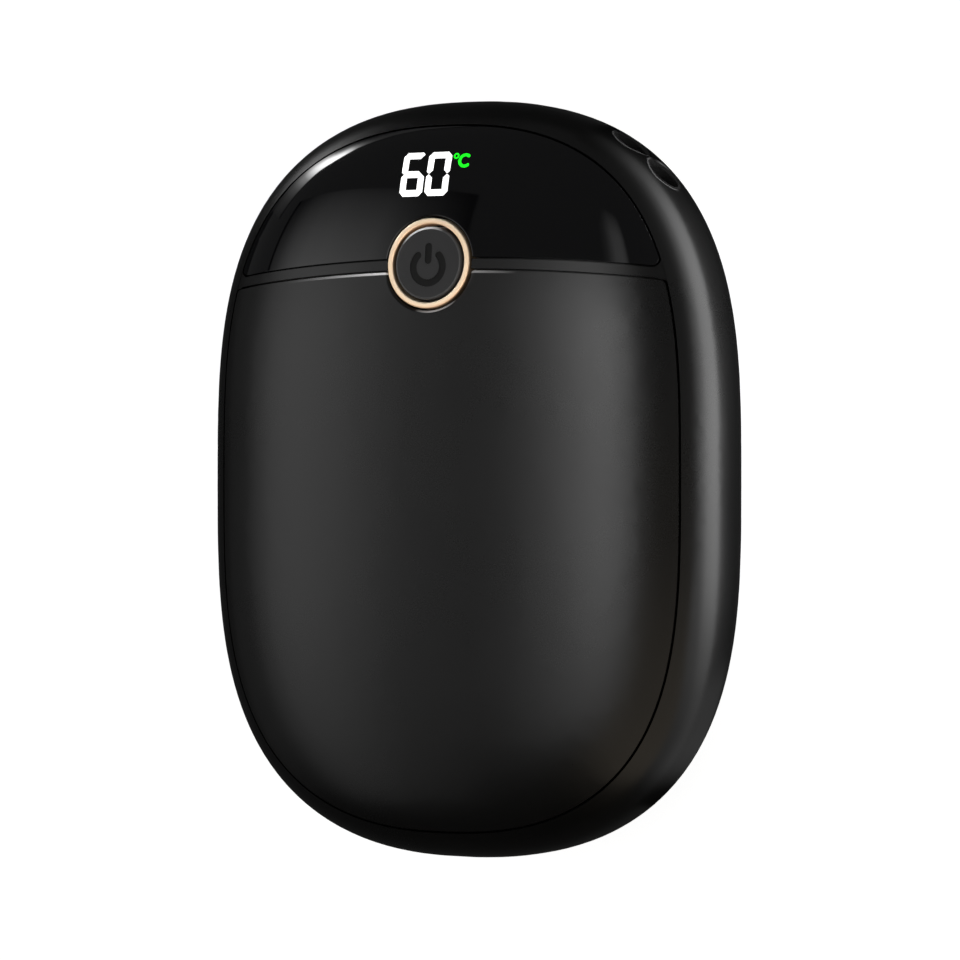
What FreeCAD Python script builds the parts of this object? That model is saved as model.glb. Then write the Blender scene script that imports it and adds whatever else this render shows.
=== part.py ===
import FreeCAD, Part
import math
import os
from FreeCAD import Vector

# Rechargeable hand warmer lying on its back, millimetres.
# X runs across, Y runs along towards the display end, Z rises out of the front.
# The origin is the middle of the flat land that the rear plate rests on.

os.makedirs("parts", exist_ok=True)

# Overall pebble shape
LENGTH = 96.0
WIDTH = 71.0
CROWN_DEPTH = 28.0
REAR_LAND_DEPTH = 0.3
WIDTH_POWER = 2.36
LENGTH_POWER = 3.16
DEPTH_POWER = 2.8
RIM_FILL_SHARE = 0.93
OVERRUN = 2.0
RIM_POINTS = 48
GRID_COLUMNS = 33
GRID_ROWS = 43
BAND_LEVEL_SHARES = (0.0, 0.15, 0.3, 0.42, 0.52, 0.6, 0.68)

# Frame
RIM_WIDTH = 3.4
WALL = 2.0
HOLLOW_SHARE = 0.3
LEDGE_WIDTH = 2.0
LEDGE_THICKNESS = 1.2
BAR_Y = 26.8
BAR_WIDTH = 1.2
BAR_DEPTH = 3.2
BAR_RECESS = 0.06
BAR_ARCH_RADIUS = 280.0

# Panels and the glue under them
PANEL_GAP = 0.27
PANEL_CORNER = 0.7
CORNER_FILL_SHARE = 0.9
PLATE_EDGE = 0.42
WINDOW_EDGE = 0.22
PLATE_THICKNESS = 1.0
WINDOW_THICKNESS = 1.5
TAPE_THICKNESS = 0.15
GLUE_LINE = 0.02
TAPE_MARGIN = 0.2

# Power button
BUTTON_RISE = 0.1
RING_RADIUS = 5.7
RING_WIDTH = 0.77
RING_PROUD = 0.22
RING_DEPTH = 2.9
RING_EDGE = 0.18
RING_GAP = 0.2
BUTTON_GAP = 0.33
BUTTON_PROUD = 0.22
BUTTON_EDGE = 0.3
BUTTON_TRAVEL = 0.4
FLANGE_LIP = 0.35
FLANGE_THICKNESS = 0.8
FLANGE_GAP = 0.1
FLANGE_SIDE_GAP = 0.15
STEM_RADIUS = 1.5
STEM_GAP = 0.3
WELL_WALL = 1.5
WELL_FLOOR = 1.0
WELL_SPARE = 0.4
FIT = 0.05
MARK_RADIUS = 2.5
MARK_STROKE = 0.93
MARK_DEPTH = 0.12
MARK_DROP = 0.45
MARK_GAP_DEGREES = 90.0
MARK_BAR_TOP = 2.55
MARK_BAR_LENGTH = 2.65

# Strap anchor in the corner of the band
STRAP_ANGLE = 58.4
STRAP_RISE = 0.9
STRAP_HOLE_RADIUS = 2.3
STRAP_PITCH = 5.95
STRAP_CHANNEL_DEPTH = 4.0
STRAP_WALL = 1.1
STRAP_SEAT = 1.8
STRAP_MOUTH = 0.35

# Charging socket
USB_WIDTH = 8.94
USB_HEIGHT = 3.26
USB_LENGTH = 7.35
USB_WALL = 0.3
USB_RECESS = 0.7
USB_GAP = 0.25
USB_CORE_LENGTH = 2.3
USB_TONGUE_WIDTH = 6.69
USB_TONGUE_HEIGHT = 0.7
USB_TONGUE_LENGTH = 4.4
USB_CONTACT_COUNT = 12
USB_CONTACT_PITCH = 0.5
USB_CONTACT_WIDTH = 0.25
USB_CONTACT_LENGTH = 3.2
USB_CONTACT_HEIGHT = 0.06

# Main board
BOARD_THICKNESS = 1.2
BOARD_INSET = 5.9
BOARD_BELOW_BAR = 8.2
BOARD_CORNER = 1.5
BOARD_POST_X = 17.0
BOARD_POST_ANGLES = (76.0, 104.0)
POST_INSET = 8.0
POST_RADIUS = 2.2
POST_RIB = 1.6
SCREW_RADIUS = 0.85
SCREW_HOLE_GAP = 0.25
SCREW_HEAD_RADIUS = 1.6
SCREW_HEAD_HEIGHT = 1.1
SCREW_BITE = 3.0
SCREW_SLOT = 0.35
SCREW_SLOT_SHARE = 0.45

# Display
DISPLAY_X = -0.6
DISPLAY_RISE = 11.45
DISPLAY_WIDTH = 13.0
DISPLAY_DEPTH = 7.4
DISPLAY_HEIGHT = 4.4
GASKET_WALL = 0.7
DIGIT_HEIGHT = 5.7
DIGIT_WIDTH = 3.0
DIGIT_STROKE = 0.75
DIGIT_SPLIT = 0.12
DIGIT_PITCH = 3.6
DIGIT_SHIFT = -2.6
SEGMENT_THICKNESS = 0.15
UNIT_X = 2.75
UNIT_HEIGHT = 1.6
UNIT_WIDTH = 1.15
UNIT_STROKE = 0.28
UNIT_DOT_RADIUS = 0.36
UNIT_DOT_X = 1.75

# Push switch under the button
SWITCH_SIDE = 6.0
SWITCH_BODY_HEIGHT = 3.4
SWITCH_COVER = 0.3
SWITCH_PLUNGER_RADIUS = 1.75
SWITCH_PLUNGER_DEPTH = 1.2
SWITCH_TOTAL = 4.3
SWITCH_PLAY = 0.05
SWITCH_GAP = 0.1
DOME_THICKNESS = 0.1

# Battery and its tray
CELL_WIDTH = 40.0
CELL_END_ROOM = 11.5
CELL_THICKNESS = 11.0
CELL_EDGE = 1.6
TRAY_GAP = 0.3
TRAY_WALL = 1.2
TRAY_FLOOR = 1.0
TRAY_CORNER = 4.0
TRAY_WALL_TOP = 0.6
TRAY_TAB_ROOM = 3.4
TRAY_BOARD_GAP = 0.5
TRAY_NOTCH = 22.0
TRAY_POST_ANGLES = (18.0, 162.0, 218.0, 322.0)
TRAY_POST_INSET = 6.8
EAR_TOP = -0.6
EAR_THICKNESS = 1.4
EAR_RADIUS = 2.6
TAB_WIDTH = 4.0
TAB_THICKNESS = 0.2
TAB_SPREAD = 12.0
GUARD_WIDTH = 20.0
GUARD_HEIGHT = 7.0
GUARD_THICKNESS = 0.8

# Heaters and insulation
FILM_INSET = 10.2
FILM_THICKNESS = 0.25
FILM_PAST_LEAD = 1.1
FOAM_INSET = 13.0
FOAM_SHORT = 0.5
FOAM_GAP = 0.1

# Leads
LEAD_RADIUS = 0.6
BATTERY_LEAD_X = 3.0
BATTERY_LEAD_DROP = 2.0
BATTERY_LEAD_REACH = 3.4
BATTERY_LEAD_BEND = 2.4
HEATER_LEAD_RADIUS = 0.5
HEATER_LEAD_X = 9.0
HEATER_LEAD_REACH = 1.9
HEATER_LEAD_RUN = 6.0
HEATER_LEAD_BEND = 3.0
BEAD_X = 6.2
BEAD_WIDTH = 1.6
BEAD_LENGTH = 2.4
BEAD_HEIGHT = 1.2
BEAD_LEAD_RADIUS = 0.25
BEAD_LEAD_SPREAD = 0.8

# Parts on the board
CHIP_X = 15.0
CHIP_RISE = 5.6
CHIP_SIDE = 5.0
CHIP_HEIGHT = 0.9
COIL_X = -15.0
COIL_RISE = 6.1
COIL_SIDE = 6.4
COIL_HEIGHT = 3.0
COIL_EDGE = 0.8
CAP_LENGTH = 2.0
CAP_WIDTH = 1.25
CAP_HEIGHT = 1.0
CAP_COUNT = 4
CAP_PITCH = 2.4
CAP_X = 10.4
CAP_REACH = 2.6

# Sizes that follow from those above
HALF_WIDTH = WIDTH / 2
HALF_LENGTH = LENGTH / 2
HALF_DEPTH = CROWN_DEPTH / 2
MID = HALF_DEPTH - REAR_LAND_DEPTH
BOARD_BOTTOM = MID + USB_HEIGHT / 2
BOARD_TOP = BOARD_BOTTOM + BOARD_THICKNESS
BAR_CENTRE_Y = BAR_Y - BAR_ARCH_RADIUS
RING_BORE = RING_RADIUS - RING_WIDTH
BUTTON_RADIUS = RING_BORE - BUTTON_GAP
FLANGE_TOP = RING_DEPTH + FLANGE_GAP
FLANGE_BOTTOM = FLANGE_TOP + FLANGE_THICKNESS
WELL_BOTTOM = FLANGE_BOTTOM + BUTTON_TRAVEL + WELL_SPARE
BUTTON_Y = BAR_Y + BUTTON_RISE
DISPLAY_Y = BUTTON_Y + DISPLAY_RISE
CHIP_Y = BUTTON_Y + CHIP_RISE
COIL_Y = BUTTON_Y + COIL_RISE
BOARD_LOW_Y = BAR_Y - BOARD_BELOW_BAR
CAP_Y = BOARD_LOW_Y + CAP_REACH
TRAY_TOP_Y = BOARD_LOW_Y - TRAY_BOARD_GAP
CELL_TOP_Y = TRAY_TOP_Y - TRAY_WALL - TRAY_TAB_ROOM
CELL_LOW_Y = CELL_END_ROOM - HALF_LENGTH
TRAY_LOW_Y = CELL_LOW_Y - TRAY_GAP - TRAY_WALL
FOAM_TOP_Y = CELL_TOP_Y - FOAM_SHORT
BATTERY_LEAD_END_Y = BOARD_LOW_Y + BATTERY_LEAD_REACH
HEATER_LEAD_END_Y = BOARD_LOW_Y + HEATER_LEAD_REACH
HEATER_LEAD_START_Y = HEATER_LEAD_END_Y - HEATER_LEAD_RUN
FILM_TOP_Y = HEATER_LEAD_END_Y + FILM_PAST_LEAD
TRAY_HALF_WIDTH = CELL_WIDTH / 2 + TRAY_GAP + TRAY_WALL
CELL_BACK = MID - CELL_THICKNESS / 2
TRAY_BACK = CELL_BACK - GLUE_LINE - TRAY_FLOOR
SEGMENT_BASE = BOARD_TOP + DISPLAY_HEIGHT + GLUE_LINE
UP = Vector(0, 0, 1)


# The crowned skin and the oval outline

def fill_at(x, y):
    across = (abs(x) / HALF_WIDTH) ** WIDTH_POWER
    along = (abs(y) / HALF_LENGTH) ** LENGTH_POWER
    return across + along


def crown_rise(x, y):
    """Height of the front skin over the middle plane; past the rim it runs on straight."""
    fill = fill_at(x, y)
    if fill <= RIM_FILL_SHARE:
        return HALF_DEPTH * (1 - fill) ** (1 / DEPTH_POWER)
    edge = HALF_DEPTH * (1 - RIM_FILL_SHARE) ** (1 / DEPTH_POWER)
    slope = edge / (DEPTH_POWER * (1 - RIM_FILL_SHARE))
    return edge - slope * (fill - RIM_FILL_SHARE)


def make_crown():
    rows = []
    for row in range(GRID_ROWS):
        y = LENGTH * (row / (GRID_ROWS - 1) - 0.5)
        line = []
        for column in range(GRID_COLUMNS):
            x = WIDTH * (column / (GRID_COLUMNS - 1) - 0.5)
            line.append(Vector(x, y, MID + crown_rise(x, y)))
        rows.append(line)
    surface = Part.BSplineSurface()
    surface.interpolate(rows)
    return surface.toShape()


CROWN = make_crown()


def front_layer(top, bottom):
    """Everything between two depths under the front skin."""
    face = CROWN.copy()
    face.translate(Vector(0, 0, -top))
    return face.extrude(Vector(0, 0, top - bottom))


def rear_layer(top, bottom):
    return front_layer(top, bottom).mirror(Vector(0, 0, MID), UP)


def rim_spot(angle, inset):
    """Point at an inset from the rim, and the outward direction there."""
    turn = math.radians(angle)
    near, far = 0.0, LENGTH
    while far - near > LENGTH * 1e-9:
        reach = (near + far) / 2
        if fill_at(reach * math.cos(turn), reach * math.sin(turn)) < 1:
            near = reach
        else:
            far = reach
    x, y = near * math.cos(turn), near * math.sin(turn)
    across = WIDTH_POWER * (abs(x) / HALF_WIDTH) ** (WIDTH_POWER - 1) / HALF_WIDTH
    along = LENGTH_POWER * (abs(y) / HALF_LENGTH) ** (LENGTH_POWER - 1) / HALF_LENGTH
    out = Vector(math.copysign(across, x), math.copysign(along, y), 0).normalize()
    return Vector(x, y, 0) - out * inset, out


def closed_curve(points):
    curve = Part.BSplineCurve()
    curve.interpolate(Points=points, PeriodicFlag=True, Parameters=[float(i) for i in range(len(points) + 1)])
    return Part.Wire([curve.toShape()])


def oval_prism(inset, low, high):
    points = []
    for step in range(RIM_POINTS):
        spot, out = rim_spot(360 * step / RIM_POINTS - 90, inset)
        points.append(spot + UP * low)
    return Part.Face(closed_curve(points)).extrude(UP * (high - low))


def oval(inset):
    """Oval column through the whole depth."""
    return oval_prism(inset, -OVERRUN, CROWN_DEPTH + OVERRUN)


def bar_disc(offset):
    """Column whose edge is the arched middle line of the bar, moved out by an offset."""
    height = CROWN_DEPTH + 2 * OVERRUN
    return Part.makeCylinder(BAR_ARCH_RADIUS + offset, height, Vector(0, BAR_CENTRE_Y, -OVERRUN))


def pillar(x, y, radius):
    """Round column through the whole depth."""
    return Part.makeCylinder(radius, CROWN_DEPTH + 2 * OVERRUN, Vector(x, y, -OVERRUN))


def button_column(radius):
    return pillar(0, BUTTON_Y, radius)


def box(x, y, low, width, length, height):
    """Block centred on x and y that stands on a low level."""
    return Part.makeBox(width, length, height, Vector(x - width / 2, y - length / 2, low))


def span(x, low_y, high_y, low, width, height):
    return box(x, (low_y + high_y) / 2, low, width, high_y - low_y, height)


def rounded_upright(solid, radius):
    edges = [e for e in solid.Edges if abs(e.tangentAt(e.FirstParameter).z) > 0.99]
    return solid.makeFillet(radius, edges)


def softened(solid, radius, front=True):
    """Rounds the outer edges of a panel whose skin is the crowned face."""
    skin = max(solid.Faces, key=lambda f: f.CenterOfMass.z if front else -f.CenterOfMass.z)
    return solid.makeFillet(radius, skin.Edges)


def save(name, shape):
    shape.removeSplitter().exportStep("parts/" + name + ".step")


# Frame

def band_blank():
    """Outer band of the pebble, skinned through its level outlines."""
    levels = [-s for s in reversed(BAND_LEVEL_SHARES) if s > 0] + list(BAND_LEVEL_SHARES)
    wires = []
    for share in levels:
        left = 1 - abs(share) ** DEPTH_POWER
        points = []
        for step in range(RIM_POINTS):
            spot, out = rim_spot(360 * step / RIM_POINTS - 90, 0)
            x = spot.x * left ** (1 / WIDTH_POWER)
            y = spot.y * left ** (1 / LENGTH_POWER)
            points.append(Vector(x, y, MID + share * HALF_DEPTH))
        wires.append(closed_curve(points))
    return Part.makeLoft(wires, True, False)


def window_column(inset):
    return oval(RIM_WIDTH + inset).cut(bar_disc(BAR_WIDTH / 2 + inset))


def plate_column(inset):
    return oval(RIM_WIDTH + inset).common(bar_disc(-BAR_WIDTH / 2 - inset))


def corner_edges(column):
    """Upright edges of a column where it turns from the bar to the rim."""
    corners = []
    for edge in column.Edges:
        start, end = edge.Vertexes[0].Point, edge.Vertexes[-1].Point
        upright = abs(start.z - end.z) > CROWN_DEPTH and abs(start.x - end.x) < GLUE_LINE
        if upright and start.y > 0 and abs(start.x) > BOARD_POST_X:
            corners.append(edge)
    return corners


def rounded_column(column, inset):
    """Column of an opening with its corners rounded about the same centres at every inset."""
    blank = column(inset)
    corners = corner_edges(blank)
    return blank.makeFillet(PANEL_CORNER + PANEL_GAP - inset, corners) if corners else blank


def corner_fills(column):
    """Small fills that round the frame's opening where the bar meets the rim."""
    opening = rounded_column(column, 0)
    fills = []
    for edge in corner_edges(column(0)):
        spot = edge.Vertexes[0].Point
        reach = min(math.hypot(v.X - spot.x, v.Y - spot.y) for v in opening.Vertexes)
        fill = pillar(spot.x, spot.y, CORNER_FILL_SHARE * reach).cut(opening)
        fills.append(fill.common(front_layer(BAR_RECESS, BAR_DEPTH)))
    return fills


def ledge_top(thickness):
    return thickness + TAPE_THICKNESS + 2 * GLUE_LINE


def ledge(column, layer, thickness):
    """Shelf that carries the edge of one panel."""
    top = ledge_top(thickness)
    shelf = layer(top, top + LEDGE_THICKNESS)
    return shelf.common(column(-BAR_WIDTH / 2).cut(column(LEDGE_WIDTH)))


def bar():
    strip = bar_disc(BAR_WIDTH / 2).cut(bar_disc(-BAR_WIDTH / 2))
    strip = strip.common(oval(RIM_WIDTH - BAR_WIDTH / 2))
    return strip.common(front_layer(BAR_RECESS, BAR_DEPTH))


def well_blank():
    layer = front_layer(post_top(WINDOW_THICKNESS), WELL_BOTTOM + WELL_FLOOR)
    return button_column(RING_RADIUS + FIT + WELL_WALL).common(layer)


def well_cut():
    seat = button_column(RING_RADIUS + FIT).common(front_layer(-OVERRUN, RING_DEPTH + FIT))
    bore = button_column(RING_BORE + FLANGE_LIP + FLANGE_SIDE_GAP).common(front_layer(0, WELL_BOTTOM))
    mouth = button_column(RING_RADIUS + RING_GAP).common(front_layer(-OVERRUN, PLATE_THICKNESS))
    stem_hole = button_column(STEM_RADIUS + STEM_GAP).common(front_layer(0, HALF_DEPTH))
    return mouth.fuse(seat).fuse(bore).fuse(stem_hole)


def board_post_spots():
    sag = BAR_ARCH_RADIUS - math.sqrt(BAR_ARCH_RADIUS ** 2 - BOARD_POST_X ** 2)
    spots = [(Vector(side * BOARD_POST_X, BAR_Y - sag, 0), Vector(0, 1, 0)) for side in (-1, 1)]
    return spots + [rim_spot(angle, POST_INSET) for angle in BOARD_POST_ANGLES]


def tray_post_spots():
    return [rim_spot(angle, TRAY_POST_INSET) for angle in TRAY_POST_ANGLES]


def post(spot, out, low, reach, top):
    """Screw post with a rib that runs out to the rim."""
    body = Part.makeCylinder(POST_RADIUS, CROWN_DEPTH, spot + UP * low)
    rib = Part.makeBox(reach, POST_RIB, CROWN_DEPTH, Vector(0, -POST_RIB / 2, 0))
    rib.rotate(Vector(0, 0, 0), UP, math.degrees(math.atan2(out.y, out.x)))
    rib.translate(spot + UP * low)
    return body.fuse(rib).common(front_layer(top, CROWN_DEPTH))


def pilot(spot, low):
    return Part.makeCylinder(SCREW_RADIUS + FIT, SCREW_BITE + OVERRUN, spot + UP * (low - OVERRUN))


def post_top(thickness):
    return ledge_top(thickness) + LEDGE_THICKNESS / 2


def posts():
    made = []
    for spot, out in board_post_spots():
        reach = POST_INSET - WALL / 2 if spot.y > BAR_Y else BAR_WIDTH / 2
        made.append(post(spot, out, BOARD_TOP + GLUE_LINE, reach, post_top(WINDOW_THICKNESS)))
    for spot, out in tray_post_spots():
        low = MID + EAR_TOP + GLUE_LINE
        made.append(post(spot, out, low, TRAY_POST_INSET - WALL / 2, post_top(PLATE_THICKNESS)))
    return made


def pilots():
    cuts = [pilot(spot, BOARD_TOP) for spot, out in board_post_spots()]
    return cuts + [pilot(spot, MID + EAR_TOP) for spot, out in tray_post_spots()]


def strap_place(shape):
    """Moves a shape made with X pointing out of the rim to the strap corner."""
    spot, out = rim_spot(STRAP_ANGLE, 0)
    shape.rotate(Vector(0, 0, 0), UP, math.degrees(math.atan2(out.y, out.x)))
    shape.translate(spot + UP * (MID + STRAP_RISE))
    return shape


def strap_block(grow):
    inner = STRAP_CHANNEL_DEPTH + STRAP_HOLE_RADIUS + STRAP_WALL + grow
    width = STRAP_PITCH + 2 * (STRAP_HOLE_RADIUS + STRAP_WALL + grow)
    height = 2 * (STRAP_HOLE_RADIUS + STRAP_WALL + grow)
    block = Part.makeBox(inner - STRAP_SEAT, width, height, Vector(-inner, -width / 2, -height / 2))
    return strap_place(block)


def strap_passage():
    """Two round mouths joined behind the bar that the strap loops over."""
    start = Vector(-STRAP_CHANNEL_DEPTH, -STRAP_PITCH / 2, 0)
    passage = Part.makeCylinder(STRAP_HOLE_RADIUS, STRAP_PITCH, start, Vector(0, 1, 0))
    for side in (-1, 1):
        foot = Vector(-STRAP_CHANNEL_DEPTH, side * STRAP_PITCH / 2, 0)
        passage = passage.fuse(Part.makeSphere(STRAP_HOLE_RADIUS, foot))
        reach = STRAP_CHANNEL_DEPTH + OVERRUN
        passage = passage.fuse(Part.makeCylinder(STRAP_HOLE_RADIUS, reach, foot, Vector(1, 0, 0)))
        wide = STRAP_HOLE_RADIUS + STRAP_MOUTH + OVERRUN
        spread = STRAP_MOUTH + OVERRUN
        mouth = Vector(-STRAP_MOUTH - STRAP_MOUTH / 2, side * STRAP_PITCH / 2, 0)
        passage = passage.fuse(Part.makeCone(STRAP_HOLE_RADIUS, wide, spread, mouth, Vector(1, 0, 0)))
    return strap_place(passage)


def stadium(width, height, low_y, high_y):
    """Flat-sided round-ended bar along Y, centred on the middle plane."""
    block = box(0, (low_y + high_y) / 2, MID - height / 2, width - height, high_y - low_y, height)
    for side in (-1, 1):
        foot = Vector(side * (width - height) / 2, low_y, MID)
        block = block.fuse(Part.makeCylinder(height / 2, high_y - low_y, foot, Vector(0, 1, 0)))
    return block.removeSplitter()


def frame():
    body = band_blank().cut(oval(RIM_WIDTH))
    hollow = HALF_DEPTH * HOLLOW_SHARE
    body = body.cut(oval_prism(WALL, MID - hollow, MID + hollow))
    adds = [ledge(window_column, front_layer, WINDOW_THICKNESS)]
    adds.append(ledge(plate_column, front_layer, PLATE_THICKNESS))
    top = ledge_top(PLATE_THICKNESS)
    shelf = oval(RIM_WIDTH - BAR_WIDTH / 2).cut(oval(RIM_WIDTH + LEDGE_WIDTH))
    adds.append(shelf.common(rear_layer(top, top + LEDGE_THICKNESS)))
    adds += [bar(), well_blank(), strap_block(0)]
    adds += corner_fills(window_column) + corner_fills(plate_column) + posts()
    body = body.fuse(adds)
    cuts = [well_cut(), strap_passage()] + pilots()
    low_y = HALF_LENGTH - RIM_WIDTH - OVERRUN
    cuts.append(stadium(USB_WIDTH + 2 * USB_GAP, USB_HEIGHT + 2 * USB_GAP, low_y, HALF_LENGTH + OVERRUN))
    return body.cut(cuts)


# Panels

def panel(column, thickness, edge):
    blank = rounded_column(column, PANEL_GAP).cut(button_column(RING_RADIUS + RING_GAP))
    return softened(blank.common(front_layer(0, thickness)), edge)


def display_window():
    return panel(window_column, WINDOW_THICKNESS, WINDOW_EDGE)


def front_heat_plate():
    return panel(plate_column, PLATE_THICKNESS, PLATE_EDGE)


def rear_heat_plate():
    plate = oval(RIM_WIDTH + PANEL_GAP).common(rear_layer(0, PLATE_THICKNESS))
    edge = max(plate.Edges, key=lambda e: e.Length * (MID - e.CenterOfMass.z))
    plate = plate.makeFillet(PLATE_EDGE, [edge])
    return plate.cut(box(0, 0, -CROWN_DEPTH, WIDTH, LENGTH, CROWN_DEPTH))


def tape(column, layer, thickness):
    outline = rounded_column(column, PANEL_GAP + TAPE_MARGIN).cut(column(LEDGE_WIDTH - TAPE_MARGIN))
    outline = outline.cut(button_column(RING_RADIUS + RING_GAP + TAPE_MARGIN))
    return outline.common(layer(thickness + GLUE_LINE, thickness + GLUE_LINE + TAPE_THICKNESS))


def rear_column(inset):
    return oval(RIM_WIDTH + inset)


# Button group

def button_ring():
    ring = button_column(RING_RADIUS).cut(button_column(RING_BORE))
    return softened(ring.common(front_layer(-RING_PROUD, RING_DEPTH)), RING_EDGE)


def mark_outline():
    """Column of the power sign: an open ring with an upright bar in its gap, all ends round."""
    y = BUTTON_Y - MARK_DROP
    cap = MARK_STROKE / 2
    middle = MARK_RADIUS - cap
    half = math.radians(MARK_GAP_DEGREES / 2)
    foot = Vector(0, y, -OVERRUN)
    side = Vector(math.sin(half), math.cos(half), 0) * (2 * MARK_RADIUS)
    other = Vector(-side.x, side.y, 0)
    wedge = Part.Face(Part.makePolygon([foot, foot + side, foot + other, foot]))
    arc = pillar(0, y, MARK_RADIUS).cut(pillar(0, y, MARK_RADIUS - MARK_STROKE))
    sign = arc.cut(wedge.extrude(UP * (CROWN_DEPTH + 2 * OVERRUN)))
    for turn in (-half, half):
        sign = sign.fuse(pillar(middle * math.sin(turn), y + middle * math.cos(turn), cap))
    top = BUTTON_Y + MARK_BAR_TOP - cap
    low = BUTTON_Y + MARK_BAR_TOP - MARK_BAR_LENGTH + cap
    stick = span(0, low, top, -OVERRUN, MARK_STROKE, CROWN_DEPTH + 2 * OVERRUN)
    for end in (low, top):
        stick = stick.fuse(pillar(0, end, cap))
    return sign.removeSplitter().fuse(stick.removeSplitter())


def power_button():
    cap = button_column(BUTTON_RADIUS).common(front_layer(-BUTTON_PROUD, FLANGE_BOTTOM))
    cap = softened(cap, BUTTON_EDGE)
    flange = button_column(RING_BORE + FLANGE_LIP).common(front_layer(FLANGE_TOP, FLANGE_BOTTOM))
    foot = BOARD_TOP + SWITCH_TOTAL + SWITCH_PLAY
    stem = Part.makeCylinder(STEM_RADIUS, HALF_DEPTH, Vector(0, BUTTON_Y, foot))
    stem = stem.common(front_layer(FLANGE_TOP, CROWN_DEPTH))
    button = cap.fuse(flange).fuse(stem)
    return button.cut(mark_outline().common(front_layer(-OVERRUN, MARK_DEPTH - BUTTON_PROUD)))


def power_mark():
    low = MARK_DEPTH - BUTTON_PROUD
    return mark_outline().common(front_layer(low - MARK_DEPTH / 2, low - GLUE_LINE))


# Switch under the button

def switch_body():
    block = box(0, BUTTON_Y, BOARD_TOP + GLUE_LINE, SWITCH_SIDE, SWITCH_SIDE, SWITCH_BODY_HEIGHT)
    low = BOARD_TOP + SWITCH_BODY_HEIGHT - SWITCH_PLUNGER_DEPTH - BUTTON_TRAVEL - SWITCH_GAP
    hole = Part.makeCylinder(SWITCH_PLUNGER_RADIUS + SWITCH_GAP, SWITCH_TOTAL, Vector(0, BUTTON_Y, low))
    return block.cut(hole)


def switch_cover():
    low = BOARD_TOP + 2 * GLUE_LINE + SWITCH_BODY_HEIGHT
    plate = box(0, BUTTON_Y, low, SWITCH_SIDE, SWITCH_SIDE, SWITCH_COVER)
    hole = Part.makeCylinder(SWITCH_PLUNGER_RADIUS + SWITCH_GAP, SWITCH_TOTAL, Vector(0, BUTTON_Y, BOARD_TOP))
    return plate.cut(hole)


def switch_dome():
    """Thin snap dome between the bottom of the hole and the plunger."""
    low = BOARD_TOP + SWITCH_BODY_HEIGHT - SWITCH_PLUNGER_DEPTH - BUTTON_TRAVEL - SWITCH_GAP + GLUE_LINE
    rise = BUTTON_TRAVEL + SWITCH_GAP - 2 * GLUE_LINE
    reach = (SWITCH_PLUNGER_RADIUS ** 2 + rise ** 2) / (2 * rise)
    centre = Vector(0, BUTTON_Y, low + rise - reach)
    shell = Part.makeSphere(reach, centre).cut(Part.makeSphere(reach - DOME_THICKNESS, centre))
    return shell.common(box(0, BUTTON_Y, low, SWITCH_SIDE, SWITCH_SIDE, rise))


def switch_plunger():
    low = BOARD_TOP + SWITCH_BODY_HEIGHT - SWITCH_PLUNGER_DEPTH
    height = BOARD_TOP + SWITCH_TOTAL - low
    return Part.makeCylinder(SWITCH_PLUNGER_RADIUS, height, Vector(0, BUTTON_Y, low))


# Board and what stands on it

def main_board():
    board = oval_prism(BOARD_INSET, BOARD_BOTTOM, BOARD_TOP)
    board = board.common(span(0, BOARD_LOW_Y, LENGTH, BOARD_BOTTOM, WIDTH, BOARD_THICKNESS))
    board = rounded_upright(board, BOARD_CORNER)
    board = board.cut(strap_block(STEM_GAP))
    for spot, out in board_post_spots():
        hole = Part.makeCylinder(SCREW_RADIUS + SCREW_HOLE_GAP, CROWN_DEPTH, spot)
        board = board.cut(hole)
    return board


def screw(spot, seat):
    """Screw driven forwards, its head under the seat."""
    base = spot + UP * (seat - GLUE_LINE - SCREW_HEAD_HEIGHT)
    head = Part.makeCylinder(SCREW_HEAD_RADIUS, SCREW_HEAD_HEIGHT, base)
    slot = SCREW_SLOT_SHARE * SCREW_HEAD_HEIGHT
    for width, length in ((SCREW_SLOT, 2 * SCREW_HEAD_RADIUS), (2 * SCREW_HEAD_RADIUS, SCREW_SLOT)):
        inner = SCREW_HEAD_RADIUS * SCREW_SLOT_SHARE
        cross = box(base.x, base.y, base.z, min(width, 2 * inner), min(length, 2 * inner), slot)
        head = head.cut(cross)
    return head, base


def screws(spots, seat, through):
    made = []
    for spot, out in spots:
        head, base = screw(spot, seat)
        shank = Part.makeCylinder(SCREW_RADIUS, through + SCREW_BITE, spot + UP * (seat - GLUE_LINE))
        made.append(head.fuse(shank).removeSplitter())
    return Part.makeCompound(made)


def display_module():
    return box(DISPLAY_X, DISPLAY_Y, BOARD_TOP + GLUE_LINE / 2, DISPLAY_WIDTH, DISPLAY_DEPTH,
               DISPLAY_HEIGHT - GLUE_LINE / 2)


def light_gasket():
    low = SEGMENT_BASE
    ring = box(DISPLAY_X, DISPLAY_Y, low, DISPLAY_WIDTH, DISPLAY_DEPTH, CROWN_DEPTH)
    inner_width = DISPLAY_WIDTH - 2 * GASKET_WALL
    inner_depth = DISPLAY_DEPTH - 2 * GASKET_WALL
    ring = ring.cut(box(DISPLAY_X, DISPLAY_Y, low, inner_width, inner_depth, CROWN_DEPTH))
    return ring.common(front_layer(WINDOW_THICKNESS + GLUE_LINE, HALF_DEPTH))


def segment(x, y, length, upright):
    """One lit bar of a digit with pointed ends."""
    half = DIGIT_STROKE / 2
    tip = length / 2
    flat = tip - half
    outline = [(-tip, 0), (-flat, half), (flat, half), (tip, 0), (flat, -half), (-flat, -half), (-tip, 0)]
    corners = [Vector(-b, a, 0) if upright else Vector(a, b, 0) for a, b in outline]
    place = Vector(x, y, SEGMENT_BASE)
    return Part.Face(Part.makePolygon([c + place for c in corners])).extrude(UP * SEGMENT_THICKNESS)


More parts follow.
